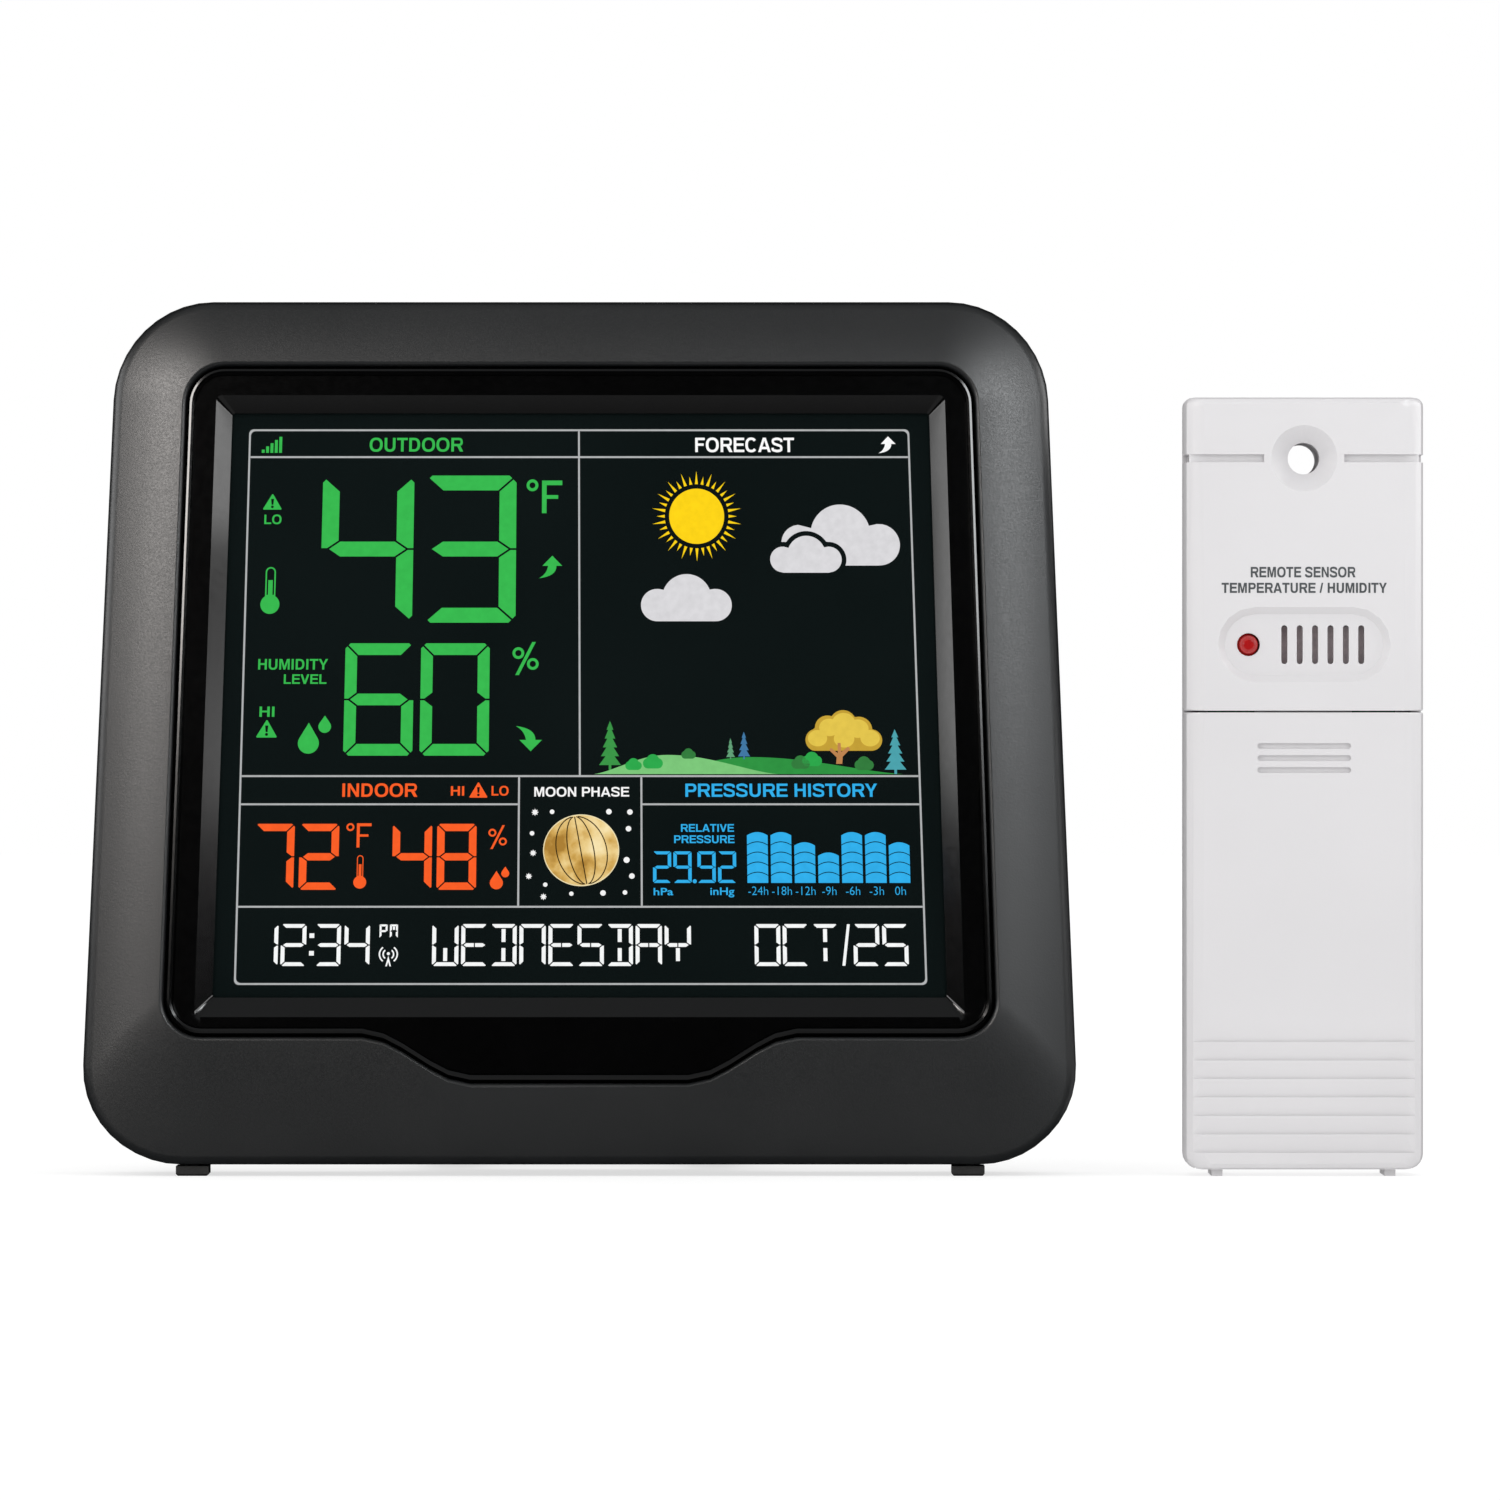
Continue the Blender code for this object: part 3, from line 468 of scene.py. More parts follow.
    # What is left is S, drawn as one ribbon along its spine.
    spine = [(w - 0.09, 0.70), (w * 0.85, 0.85), (w * 0.5, 0.925), (w * 0.17, 0.86), (0.10, 0.73),
             (w * 0.2, 0.60), (w * 0.5, 0.51), (w * 0.82, 0.41), (w - 0.10, 0.27), (w * 0.83, 0.13),
             (w * 0.5, 0.075), (w * 0.13, 0.15), (0.08, 0.30)]
    return [ribbon(curved(spine), b * 1.05)]


def curved(points, steps=5):
    """A smooth line through the points."""
    made = []
    for i in range(len(points) - 1):
        p0, p1, p2, p3 = (points[min(max(j, 0), len(points) - 1)] for j in (i - 1, i, i + 1, i + 2))
        for step in range(steps):
            t = step / steps
            made.append(tuple(
                0.5 * (2 * b + (c - a) * t + (2 * a - 5 * b + 4 * c - d) * t * t
                       + (3 * b - a - 3 * c + d) * t ** 3)
                for a, b, c, d in zip(p0, p1, p2, p3)))
    return made + [points[-1]]


# How far each capital moves the pen on, for capitals one unit tall.
ADVANCE = {
    "A": 1.0, "C": 1.0, "D": 1.0, "E": 0.92, "F": 0.85, "H": 1.0, "I": 0.39, "L": 0.85, "M": 1.16,
    "N": 1.0, "O": 1.08, "P": 0.93, "R": 1.0, "S": 0.93, "T": 0.85, "U": 1.0, "V": 0.93, "Y": 0.93,
    " ": 0.39, "/": 0.45,
}


def capitals(group, text, x0, v0, x1, v1, stem=0.2):
    """Bold capitals that fill a box."""
    loops, pen = [], 0.0
    for letter in text:
        side = 0.09 if letter in "DEFHILMNPRU" else 0.05 if letter in "COS" else 0.02
        width = stem if letter == "I" else ADVANCE[letter] - side * 2 + (0.06 if letter in "EFLPR" else 0)
        if letter != " ":
            for number, loop in enumerate(capital(letter, width, stem, stem * 0.84)):
                loops.append((number, [(pen + side + x, y) for x, y in loop]))
        pen += ADVANCE[letter]
    left = min(x for _, loop in loops for x, y in loop)
    right = max(x for _, loop in loops for x, y in loop)
    letters = []
    for number, loop in loops:
        fitted = [(x0 + (x - left) / (right - left) * (x1 - x0), v0 + y * (v1 - v0)) for x, y in loop]
        if number:
            letters[-1].append(fitted)
        else:
            letters.append([fitted])
    for letter in letters:
        shape(group, letter)


def words(group, text, x0, v0, x1, v1, bold):
    """Light or mixed-case lettering that fills a box."""
    curve = bpy.data.curves.new("lettering", "FONT")
    curve.body = text
    curve.offset = bold
    curve.resolution_u = 3
    curve.extrude = 0.5
    holder = bpy.data.objects.new("lettering", curve)
    SCENE.collection.objects.link(holder)
    evaluated = holder.evaluated_get(bpy.context.evaluated_depsgraph_get())
    mesh = evaluated.to_mesh()
    points = [tuple(vertex.co) for vertex in mesh.vertices]
    faces = [tuple(polygon.vertices) for polygon in mesh.polygons]
    evaluated.to_mesh_clear()
    bpy.data.objects.remove(holder)
    bpy.data.curves.remove(curve)
    left, right = min(p[0] for p in points), max(p[0] for p in points)
    low, high = min(p[1] for p in points), max(p[1] for p in points)
    placed = [(x0 + (x - left) / (right - left) * (x1 - x0), v0 + (y - low) / (high - low) * (v1 - v0),
               0 if z > 0 else 1) for x, y, z in points]
    ART.setdefault(group, []).append(("mesh", (placed, faces), 0))


def build_art(group, place, front, step, thick):
    """One mesh of thin closed plates from everything queued for a group."""
    shell = bmesh.new()
    for kind, content, layer in ART[group]:
        depth = front - step * layer
        if kind == "mesh":
            points, faces = content
            verts = [shell.verts.new(place(x, depth + thick * back, v)) for x, v, back in points]
            for face in faces:
                shell.faces.new([verts[i] for i in face])
            continue
        flat = [point for loop in content for point in loop]
        sides = [[shell.verts.new(place(x, depth + thick * back, v)) for x, v in flat] for back in (0, 1)]
        for triangle in tessellate_polygon([[Vector((x, v, 0)) for x, v in loop] for loop in content]):
            for side in sides:
                shell.faces.new([side[i] for i in triangle])
        start = 0
        for loop in content:
            for i in range(len(loop)):
                a, b = start + i, start + (i + 1) % len(loop)
                shell.faces.new([sides[0][a], sides[0][b], sides[1][b], sides[1][a]])
            start += len(loop)
    bmesh.ops.remove_doubles(shell, verts=shell.verts, dist=2e-7)
    bmesh.ops.recalc_face_normals(shell, faces=shell.faces)
    mesh = bpy.data.meshes.new(group)
    shell.to_mesh(mesh)
    shell.free()
    made = bpy.data.objects.new(group, mesh)
    SCENE.collection.objects.link(made)
    return made


# ---------------------------------------------------------------- screen artwork


# The lines of the screen, in face millimetres: heights, sides, line width and the gaps where lines meet.
GRID_LINE, GRID_CORNER, LINE_GAP, SIDE_GAP = 0.31, 0.8, 0.17, 0.18
GRID_TOP, GRID_LOW = 123.21, 30.5
HEAD_LINE, MIDDLE_LINE, SECOND_LINE, STRIP_LINE = 118.68, 65.17, 60.46, 43.36
LEFT_TOP, LEFT_LOW = (-56.33, GRID_TOP), (-55.87, GRID_LOW)
RIGHT_TOP, RIGHT_LOW = (55.79, GRID_TOP), (56.15, GRID_LOW)
MOON_LEFT, MOON_RIGHT, MOON_CLEAR = -10.07, 10.10, 10.24


def line(x0, v0, x1, v1):
    stroke("screen_grid", [(x0, v0), (x1, v1)], GRID_LINE)


def along_side(top, low, v):
    """Where a leaning side of the grid is at height v."""
    return top[0] + (low[0] - top[0]) * (top[1] - v) / (top[1] - low[1])


def draw_grid():
    """The white frame round the screen and the lines in it; its sides lean a little, as printed."""
    middle = (GRID_TOP + GRID_LOW) / 2
    outline = []
    for (cx, cv), start in ((RIGHT_LOW, -90), (RIGHT_TOP, 0), (LEFT_TOP, 90), (LEFT_LOW, 180)):
        sx, sv = math.copysign(GRID_CORNER, cx), math.copysign(GRID_CORNER, cv - middle)
        for step in range(6):
            angle = math.radians(start + 18 * step)
            outline.append((cx - sx + GRID_CORNER * math.cos(angle), cv - sv + GRID_CORNER * math.sin(angle)))
    shape("screen_grid", [[(x + math.copysign(1, x) * out, v + math.copysign(1, v - middle) * out)
                           for x, v in outline] for out in (GRID_LINE / 2, -GRID_LINE / 2)])
    for v in (HEAD_LINE, MIDDLE_LINE, SECOND_LINE, STRIP_LINE):
        start = along_side(LEFT_TOP, LEFT_LOW, v) + SIDE_GAP
        end = along_side(RIGHT_TOP, RIGHT_LOW, v) - SIDE_GAP
        if v == SECOND_LINE:
            line(start, v, -MOON_CLEAR, v)
            line(MOON_CLEAR, v, end, v)
        else:
            line(start, v, end, v)
    line(-0.30, HEAD_LINE + LINE_GAP, -0.32, GRID_TOP - LINE_GAP)
    line(-0.05, MIDDLE_LINE + LINE_GAP, -0.30, HEAD_LINE - LINE_GAP)
    for x in (MOON_LEFT, MOON_RIGHT):
        line(x, STRIP_LINE + LINE_GAP, x, MIDDLE_LINE - LINE_GAP)


def draw_outdoor():
    green = "screen_outdoor_green"
    for i in range(5):
        x = -54.25 + 0.735 * i
        foot, head = 119.41, 119.94 + 0.54 * i
        shape(green, [[(x, foot), (x + 0.5, foot), (x + 0.5, head), (x, head)]])
    capitals(green, "OUTDOOR", -35.92, 119.62, -19.99, 121.93)
    alert(green, -53.8, 109.85, -50.5, 112.57)
    capitals(green, "LO", -53.44, 107.42, -50.54, 109.0)
    thermometer(green, -52.07, 100.2, 98.0, 93.93, 0.86, 1.6, 0.24)
    for letter, x in (("4", -43.67), ("3", -26.35)):
        glyph(green, letter, x, 90.86, 15.48, 24.72, 2.86, 2.5, 0.32, 1.2, 1.0)
    ring(green, -8.17, 113.94, 1.0, 0.5)
    letter_f(green, -6.55, 109.25, -3.12, 114.74, 0.78)
    bent_arrow(green, -4.75, 102.1, 0.97, 1)
    capitals(green, "HUMIDITY", -53.71, 83.0, -42.07, 84.77)
    capitals(green, "LEVEL", -49.37, 80.6, -42.26, 82.2)
    capitals(green, "HI", -53.25, 75.09, -50.76, 76.8)
    alert(green, -53.76, 71.62, -50.18, 74.67)
    drop(green, -45.0, 74.1, 68.92, 1.74)
    drop(green, -42.36, 75.3, 72.4, 1.05)
    for letter, x in (("6", -39.21), ("0", -26.58)):
        glyph(green, letter, x, 68.59, 11.45, 18.81, 1.98, 1.96, 0.3, 0.85, 0.7)
    percent(green, -11.33, 82.08, -6.95, 87.62, 0.98, 0.52, 0.6)
    bent_arrow(green, -8.2, 69.33, 1.08, -1)


def letter_f(group, x0, v0, x1, v1, width):
    """The light F after the degree ring."""
    stem, arm = x0 + width, x1 - 0.2 * (x1 - x0)
    middle = v0 + (v1 - v0) * 0.49
    under, over = middle - width * 0.35, middle + width * 0.45
    shape(group, [[(x0, v0), (stem, v0), (stem, under), (arm, under), (arm, over), (stem, over),
                   (stem, v1 - width), (x1, v1 - width), (x1, v1), (x0, v1)]])


def draw_indoor():
    orange = "screen_indoor_orange"
    capitals(orange, "INDOOR", -39.19, 61.71, -26.82, 63.94)
    capitals(orange, "HI", -21.3, 61.91, -19.1, 63.48)
    alert(orange, -18.32, 61.57, -15.2, 64.24)
    capitals(orange, "LO", -14.59, 61.92, -11.79, 63.52)
    for letter, x in (("7", -53.31), ("2", -46.0), ("4", -30.74), ("8", -23.45)):
        glyph(orange, letter, x, 46.19, 6.47, 11.01, 1.24, 1.22, 0.22, 0.5, 0.45)
    ring(orange, -37.72, 56.65, 0.66, 0.36)
    letter_f(orange, -36.65, 53.25, -34.25, 57.28, 0.48)
    thermometer(orange, -35.99, 51.95, 50.45, 47.45, 0.53, 1.06, 0.15)
    percent(orange, -15.05, 53.0, -12.0, 56.97, 0.66, 0.36, 0.4)
    drop(orange, -13.66, 49.33, 46.27, 1.07)
    drop(orange, -12.22, 50.07, 48.27, 0.65)


def draw_forecast():
    white, yellow, cloud = "screen_forecast_white", "screen_forecast_sun", "screen_forecast_cloud"
    capitals(white, "FORECAST", 19.47, 119.53, 36.29, 121.95)
    bent_arrow(white, 52.3, 122.18, 0.73, 1)
    x, v = 19.61, 108.73
    shape(yellow, [circle(x, v, 4.65, 72)])
    base, half = 5.4, 0.047
    for i in range(36):
        angle = math.radians(10 * i)
        tip = 7.6 if i % 2 else 6.75
        shape(yellow, [[(x + base * math.cos(angle - half), v + base * math.sin(angle - half)),
                        (x + tip * math.cos(angle), v + tip * math.sin(angle)),
                        (x + base * math.cos(angle + half), v + base * math.sin(angle + half))]])
    shape(cloud, [blob([(12.86, 93.81, 2.72), (17.83, 94.85, 4.16), (22.65, 93.81, 2.72)], 91.1)])
    shape(cloud, [blob([(36.95, 104.2, 3.1), (43.85, 105.65, 5.05), (50.35, 103.95, 3.48)], 100.45)])
    small, foot, gap = [(34.08, 101.46, 2.16), (38.05, 102.2, 3.24), (41.8, 101.46, 2.16)], 99.24, 0.8
    shape("screen_cloud_gap", [blob([(x, v, r + gap) for x, v, r in small], foot - gap)], 1)
    shape(cloud, [blob(small, foot)], 2)


def hill(group, x0, x1, peak, top, base, layer):
    """A rounded hill from x0 to x1 whose top is at peak."""
    loop = [(x1, base), (x0, base)]
    for step in range(1, 40):
        x = x0 + (x1 - x0) * step / 40
        span = (peak - x0) if x < peak else (x1 - peak)
        loop.append((x, base + (top - base) * math.cos(math.pi / 2 * (x - peak) / span) ** 1.4))
    shape(group, [loop], layer)


def pine(group, x, base, top, half, tiers, layer):
    """A fir tree: tiers of drooping branches on a short trunk."""
    trunk, stem, narrowing = (top - base) * 0.1, half * 0.12, 0.86
    rise = (top - base - trunk) / tiers
    edge = [(stem, base), (stem, base + trunk)]
    for tier in range(tiers):
        foot = base + trunk + rise * tier
        edge.append((half * (1 - tier / tiers * narrowing), foot))
        if tier < tiers - 1:
            edge.append((half * (1 - (tier + 1) / tiers * narrowing) * 0.5, foot + rise))
    right = [(x + out, v) for out, v in edge]
    left = [(x - out, v) for out, v in reversed(edge)]
    shape(group, [right + [(x, top)] + left], layer)


def draw_landscape():
    base = 65.5
    hill("screen_hill_dark", 12.0, 53.4, 28.0, 68.35, base, 0)
    pine("screen_pine_green", 4.93, 66.2, 74.4, 1.8, 5, 0)
    pine("screen_pine_grey", 24.87, 68.0, 71.5, 0.72, 4, 1)
    pine("screen_pine_blue", 27.1, 68.0, 72.6, 1.0, 4, 1)
    pine("screen_pine_teal", 52.1, 65.5, 73.0, 1.8, 5, 1)
    hill("screen_hill_light", 2.3, 32.6, 14.4, 68.7, base, 2)
    for tone, x, v, radius in (("light", 8.8, 66.9, 1.2), ("light", 12.0, 67.3, 1.45),
                               ("dark", 17.9, 68.7, 1.05), ("dark", 36.4, 67.2, 1.35),
                               ("light", 38.3, 67.7, 1.45), ("dark", 46.9, 67.0, 1.4)):
        lobes = [(x - radius * 0.5, v, radius * 0.62), (x, v + radius * 0.3, radius * 0.75),
                 (x + radius * 0.55, v, radius * 0.6)]
        shape("screen_bush_" + tone, [blob(lobes, v - radius * 0.6, 60)], 3)
    crown = [(39.2, 71.2, 1.9), (41.0, 73.2, 2.1), (43.6, 74.0, 2.2), (46.2, 72.9, 2.2), (48.2, 71.2, 1.8)]
    shape("screen_tree_shade", [blob(crown, 69.4)], 1)
    for x, v, radius in ((39.3, 71.5, 1.6), (41.3, 73.3, 1.7), (43.7, 74.1, 1.9), (46.0, 73.1, 1.8),
                         (48.0, 71.5, 1.6), (43.7, 71.4, 1.7)):
        shape("screen_tree_crown", [circle(x, v, radius, 32, radius * 0.86)], 2)
    shape("screen_tree_trunk", [[(42.3, 67.2), (43.3, 67.2), (43.4, 68.4), (44.7, 69.7), (44.3, 70.1),
                                 (43.2, 69.2), (43.1, 70.7), (42.6, 70.7), (42.6, 69.0), (41.5, 69.9),
                                 (41.2, 69.5), (42.4, 68.3)]], 3)


# Centre and radius of each small star round the moon, and of the larger stars that have points.
STARS = (
    (-4.6, 59.21, 0.38), (-7.88, 55.62, 0.38), (-5.66, 47.05, 0.36), (-1.4, 45.54, 0.36), (3.77, 45.66, 0.46),
    (7.36, 45.75, 0.38), (8.49, 48.48, 0.46), (7.64, 51.17, 0.5), (7.96, 56.38, 0.46), (8.2, 59.17, 0.46),
    (4.74, 59.23, 0.46),
)
POINTED_STARS = ((-7.41, 59.13, 0.62), (-7.68, 52.33, 0.58), (-8.37, 48.45, 0.56), (-5.95, 45.03, 0.58))


def draw_moon():
    white, x, v, rx, ry = "screen_moon_white", 0.19, 52.78, 6.07, 5.82
    capitals(white, "MOON PHASE", -7.55, 61.75, 8.09, 63.35)
    shape("screen_moon", [circle(x, v, rx, 96, ry)])
    shape("screen_moon_rim", [circle(x, v, rx + out, 96, ry + out) for out in (0.17, 0.005)])
    south, north = (1.14, 47.1), (-0.9, 58.4)
    for number, bulge in enumerate((-3.95, -2.05, 0.0, 2.15, 4.25)):
        points = []
        for step in range(25):
            turn = math.pi * (0.04 + 0.92 * step / 24)
            share = (1 - math.cos(turn)) / 2
            points.append((north[0] + (south[0] - north[0]) * share + bulge * math.sin(turn),
                           north[1] + (south[1] - north[1]) * share + bulge * 0.08 * math.sin(turn)))
        stroke("screen_moon_lines", points, 0.19, 1 + number)
    for x, v, radius in STARS:
        shape(white, [circle(x, v, radius, 20)])
    for x, v, radius in POINTED_STARS:
        turn = [2 * math.pi * i / 16 for i in range(16)]
        reach = [radius * (1.0 if i % 2 == 0 else 0.55) for i in range(16)]
        shape(white, [[(x + r * math.cos(a), v + r * math.sin(a)) for a, r in zip(turn, reach)]])


def draw_pressure():
    blue = "screen_pressure_blue"
    capitals(blue, "PRESSURE HISTORY", 17.35, 61.71, 48.96, 63.91)
    capitals(blue, "RELATIVE", 16.58, 55.87, 25.28, 57.15)
    capitals(blue, "PRESSURE", 15.45, 53.98, 25.35, 55.27)
    for letter, x in (("2", 11.96), ("9", 15.3), ("9", 19.24), ("2", 22.6)):
        glyph(blue, letter, x, 47.34, 2.98, 5.26, 0.56, 0.5, 0.1, 0.22, 0.2)
    shape(blue, [circle(18.77, 47.62, 0.34, 16)])
    words(blue, "hPa", 12.04, 45.27, 15.24, 46.5, 0.012)
    words(blue, "inHg", 21.3, 44.92, 25.22, 46.58, 0.012)
    levels = [47.34, 49.06, 50.75, 52.41, 54.12, 55.82]
    pitch, wide, crown, gap = 3.872, 3.4, 0.55, 0.15
    for number, count in enumerate((5, 5, 4, 3, 5, 5, 4)):
        x0 = 27.39 + pitch * number
        x1 = x0 + wide
        for cell in range(count):
            low, high = levels[cell], levels[cell + 1]
            bow = [crown * (2 * i / 12 - 1) ** 2 for i in range(13)]
            top = [(x1 + (x0 - x1) * i / 12, high - sink) for i, sink in enumerate(bow)]
            if cell == 0:
                foot = [(x0, low), (x1, low)]
            else:
                foot = [(x0 + (x1 - x0) * i / 12, low + gap - sink) for i, sink in enumerate(bow)]
            shape(blue, [foot + top])
    for number, (text, half) in enumerate((("-24h", 1.62), ("-18h", 1.62), ("-12h", 1.62), ("-9h", 1.16),
                                           ("-6h", 1.16), ("-3h", 1.16), ("0h", 0.88))):
        x = 29.13 + pitch * number
        words(blue, text, x - half, 45.32, x + half, 46.74, -0.012)


def draw_strip():
    """The bottom row: the time, the day and the date, all on one foot line."""
    white, foot = "screen_strip_white", 33.5
    style = dict(height=6.98, upright=0.64, level=0.62, gap=0.2, corner=0.38, tip=0.2)
    glyph(white, "1", -53.2, foot, width=4.15, **style)
    for letter, x in (("2", -48.6), ("3", -42.98), ("4", -38.27)):
        glyph(white, letter, x, foot, width=4.12, **style)
    for v in (35.62, 38.55):
        shape(white, [[(-43.98, v - 0.38), (-43.2, v - 0.38), (-43.2, v + 0.38), (-43.98, v + 0.38)]])
    small = dict(height=2.22, upright=0.33, level=0.33, gap=0.04, corner=0.08, tip=0.1)
    for letter, x in (("P", -32.59), ("M", -30.91)):
        glyph(white, letter, x, 38.2, width=1.3, **small)
    draw_mast(white, -31.09)
    for number, letter in enumerate("WEDNESDAY"):
        glyph(white, letter, -24.0 + 4.725 * number, foot, width=4.28, split=True, **style)
    for letter, x in (("O", 28.41), ("C", 33.0), ("T", 37.8), ("2", 44.5), ("5", 49.2)):
        glyph(white, letter, x, foot, width=4.2, **style)
    shape(white, [[(42.62, 33.55), (43.1, 33.55), (43.95, 40.45), (43.5, 40.45)]])


def draw_mast(group, x):
    """The small radio mast with two waves on either side."""
    foot, wide, narrow = 33.45, 0.46, 0.21
    shape(group, [circle(x, 35.55, 0.26, 16)])
    shape(group, [[(x, 35.2), (x - wide, foot), (x - narrow, foot), (x, 34.2), (x + narrow, foot),
                   (x + wide, foot)]])
    for radius in (0.85, 1.45):
        for way in (0, math.pi):
            turn = [way + math.radians(-52 + 104 * i / 12) for i in range(13)]
            stroke(group, [(x + radius * math.cos(a), 35.45 + radius * math.sin(a)) for a in turn], 0.24)


def draw_label():
    """The plain two-line label on the sensor."""
    capitals("sensor_label", "REMOTE SENSOR", -8.8, 98.62, 8.45, 100.34, stem=0.225)
    capitals("sensor_label", "TEMPERATURE / HUMIDITY", -13.6, 96.06, 13.6, 97.72, stem=0.225)


draw_grid()
draw_outdoor()
draw_indoor()
draw_forecast()
draw_landscape()
draw_moon()
draw_pressure()
draw_strip()
draw_label()

# ---------------------------------------------------------------- finishes


def charcoal_finish():
    """Satin black plastic with a fine speckle."""
    made, tree, shader = nodes_of("charcoal_satin")
    dark, light = (0.0070, 0.0080, 0.0088), (0.0095, 0.0104, 0.0112)
    drift(tree, shader.inputs["Base Color"], 26.0, 3, dark, light, 0.35, 0.65)
    fine = noise(tree, 0.34, 1.5)
    tree.links.new(spread(tree, fine, 0.34, 0.42), shader.inputs["Roughness"])
    bump(tree, shader, fine, 0.011)
    shader.inputs["IOR"].default_value = 1.55
    return made


def glass_finish():
    """The screen's dark, slightly green glass."""
    made, tree, shader = nodes_of("lcd_glass_dark")
    drift(tree, shader.inputs["Base Color"], 40.0, 2, (0.0036, 0.0062, 0.0062), (0.0046, 0.0076, 0.0076))
    tree.links.new(spread(tree, noise(tree, 3.0, 2), 0.04, 0.08), shader.inputs["Roughness"])
    return made


def moon_finish():
    """Gold patches that lighten towards the moon's right side."""
    made, tree, shader = nodes_of("screen_moon_gold")
    shader.inputs["Base Color"].default_value = (0.0, 0.0, 0.0, 1.0)
    shader.inputs["Specular IOR Level"].default_value = 0.0
    shader.inputs["Emission Strength"].default_value = 1.0
    patches = noise(tree, 3.4, 5)
    spot = tree.nodes.new("ShaderNodeTexCoord")
    apart = tree.nodes.new("ShaderNodeSeparateXYZ")
    tree.links.new(spot.outputs["Generated"], apart.inputs[0])
    lit = tree.nodes.new("ShaderNodeMath")
    lit.operation = "MULTIPLY_ADD"
    lit.inputs[1].default_value = 0.26
    tree.links.new(apart.outputs["X"], lit.inputs[0])
    tree.links.new(patches, lit.inputs[2])
    colour = ramp(tree, lit.outputs[0], [(0.42, srgb(172, 128, 54)), (0.56, srgb(208, 166, 86)),
                                         (0.72, srgb(236, 206, 138)), (0.90, srgb(250, 232, 182))])
    tree.links.new(colour, shader.inputs["Emission Color"])
    return made


def lens_finish():
    """The indicator's red lens, faintly lit."""
    made, tree, shader = nodes_of("red_lens_clear")
    drift(tree, shader.inputs["Base Color"], 1.4, 2, (0.22, 0.004, 0.005), (0.34, 0.010, 0.010))
    shader.inputs["Roughness"].default_value = 0.1
    shader.inputs["Emission Strength"].default_value = 0.10
    shader.inputs["Emission Color"].default_value = (1.0, 0.02, 0.02, 1.0)
    return made


def board_finish():
    """Green circuit board with faint tracks."""
    made, tree, shader = nodes_of("circuit_green_mask")
    cells = tree.nodes.new("ShaderNodeTexVoronoi")
    cells.feature = "DISTANCE_TO_EDGE"
    cells.inputs["Scale"].default_value = 420.0
    spot = tree.nodes.new("ShaderNodeTexCoord")
    tree.links.new(spot.outputs["Object"], cells.inputs["Vector"])
    track, mask = (0.03, 0.19, 0.08), (0.012, 0.10, 0.04)
    colour = ramp(tree, cells.outputs["Distance"], [(0.03, track), (0.06, mask)])
    tree.links.new(colour, shader.inputs["Base Color"])
    shader.inputs["Roughness"].default_value = 0.35
    bump(tree, shader, cells.outputs["Distance"], 0.02)
    return made


def wrap_finish():
    """A cell's printed sleeve, in blue and copper bands."""
    made, tree, shader = nodes_of("cell_wrap_sleeve")
    bands = tree.nodes.new("ShaderNodeTexWave")
    bands.inputs["Scale"].default_value = 9.0
    bands.inputs["Distortion"].default_value = 0.3
    spot = tree.nodes.new("ShaderNodeTexCoord")
    tree.links.new(spot.outputs["Object"], bands.inputs["Vector"])
    blue, copper = (0.03, 0.13, 0.34), (0.55, 0.33, 0.12)
    colour = ramp(tree, bands.outputs["Fac"], [(0.45, blue), (0.55, copper)])
    tree.links.new(colour, shader.inputs["Base Color"])
    shader.inputs["Roughness"].default_value = 0.3
    shader.inputs["Metallic"].default_value = 0.6
    return made


FINISH = {
    "charcoal": charcoal_finish(),
    "gloss_black": plastic("gloss_black_polish", (0.0008, 0.0008, 0.0009), 0.15, 1.2, 0.0004,
                           vary=0.2),
    "lcd_glass": glass_finish(),
    "diffuser": plastic("diffuser_satin", (0.80, 0.84, 0.88), 0.4, 0.5, 0.004, vary=0.03),
    "white_plastic": plastic("white_moulded", (0.660, 0.648, 0.660), 0.42, 0.3, 0.006, vary=0.012,
                             cloud=30.0),
    "circuit_green": board_finish(),
    "black_plastic": plastic("black_moulded", (0.020, 0.0205, 0.021), 0.5, 0.4, 0.016, vary=0.1, cloud=20.0),
    "grey_button": plastic("grey_silicone", (0.15, 0.15, 0.155), 0.6, 0.25, 0.008, vary=0.06, cloud=4.0),
    "rubber": plastic("black_rubber", (0.013, 0.013, 0.013), 0.7, 0.35, 0.02, vary=0.15, cloud=3.0),
    "steel": plastic("nickel_steel", (0.60, 0.60, 0.58), 0.3, 0.2, 0.002, vary=0.05, metallic=1.0),
    "ferrite": plastic("ferrite_dull", (0.055, 0.052, 0.052), 0.75, 0.3, 0.02, vary=0.2, cloud=2.0),
    "cell_wrap": wrap_finish(),
    "copper": plastic("copper_wire", (0.72, 0.35, 0.18), 0.28, 0.3, 0.002, vary=0.06, metallic=1.0),
    "red_lens": lens_finish(),
}
SPECIAL = {
    "humidity_element": plastic("filter_felt", (0.92, 0.80, 0.825), 0.8, 0.18, 0.03, vary=0.08, cloud=0.8),
}
SLOT_OF = {row["node"]: row["material_slot"] for row in frame["record"]["subparts"]}


def smooth(node, angle=34.0):
    """Even shading on curved walls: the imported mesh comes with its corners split."""
    mesh = node.data
    custom = mesh.attributes.get("custom_normal")
    if custom:
        mesh.attributes.remove(custom)
    mesh.polygons.foreach_set("use_smooth", [True] * len(mesh.polygons))
    weld = node.modifiers.new("weld", "WELD")
    weld.merge_threshold = 2e-6
    split = node.modifiers.new("split", "EDGE_SPLIT")
    split.split_angle = math.radians(angle)
    weighted = node.modifiers.new("weighted", "WEIGHTED_NORMAL")
    weighted.keep_sharp = True


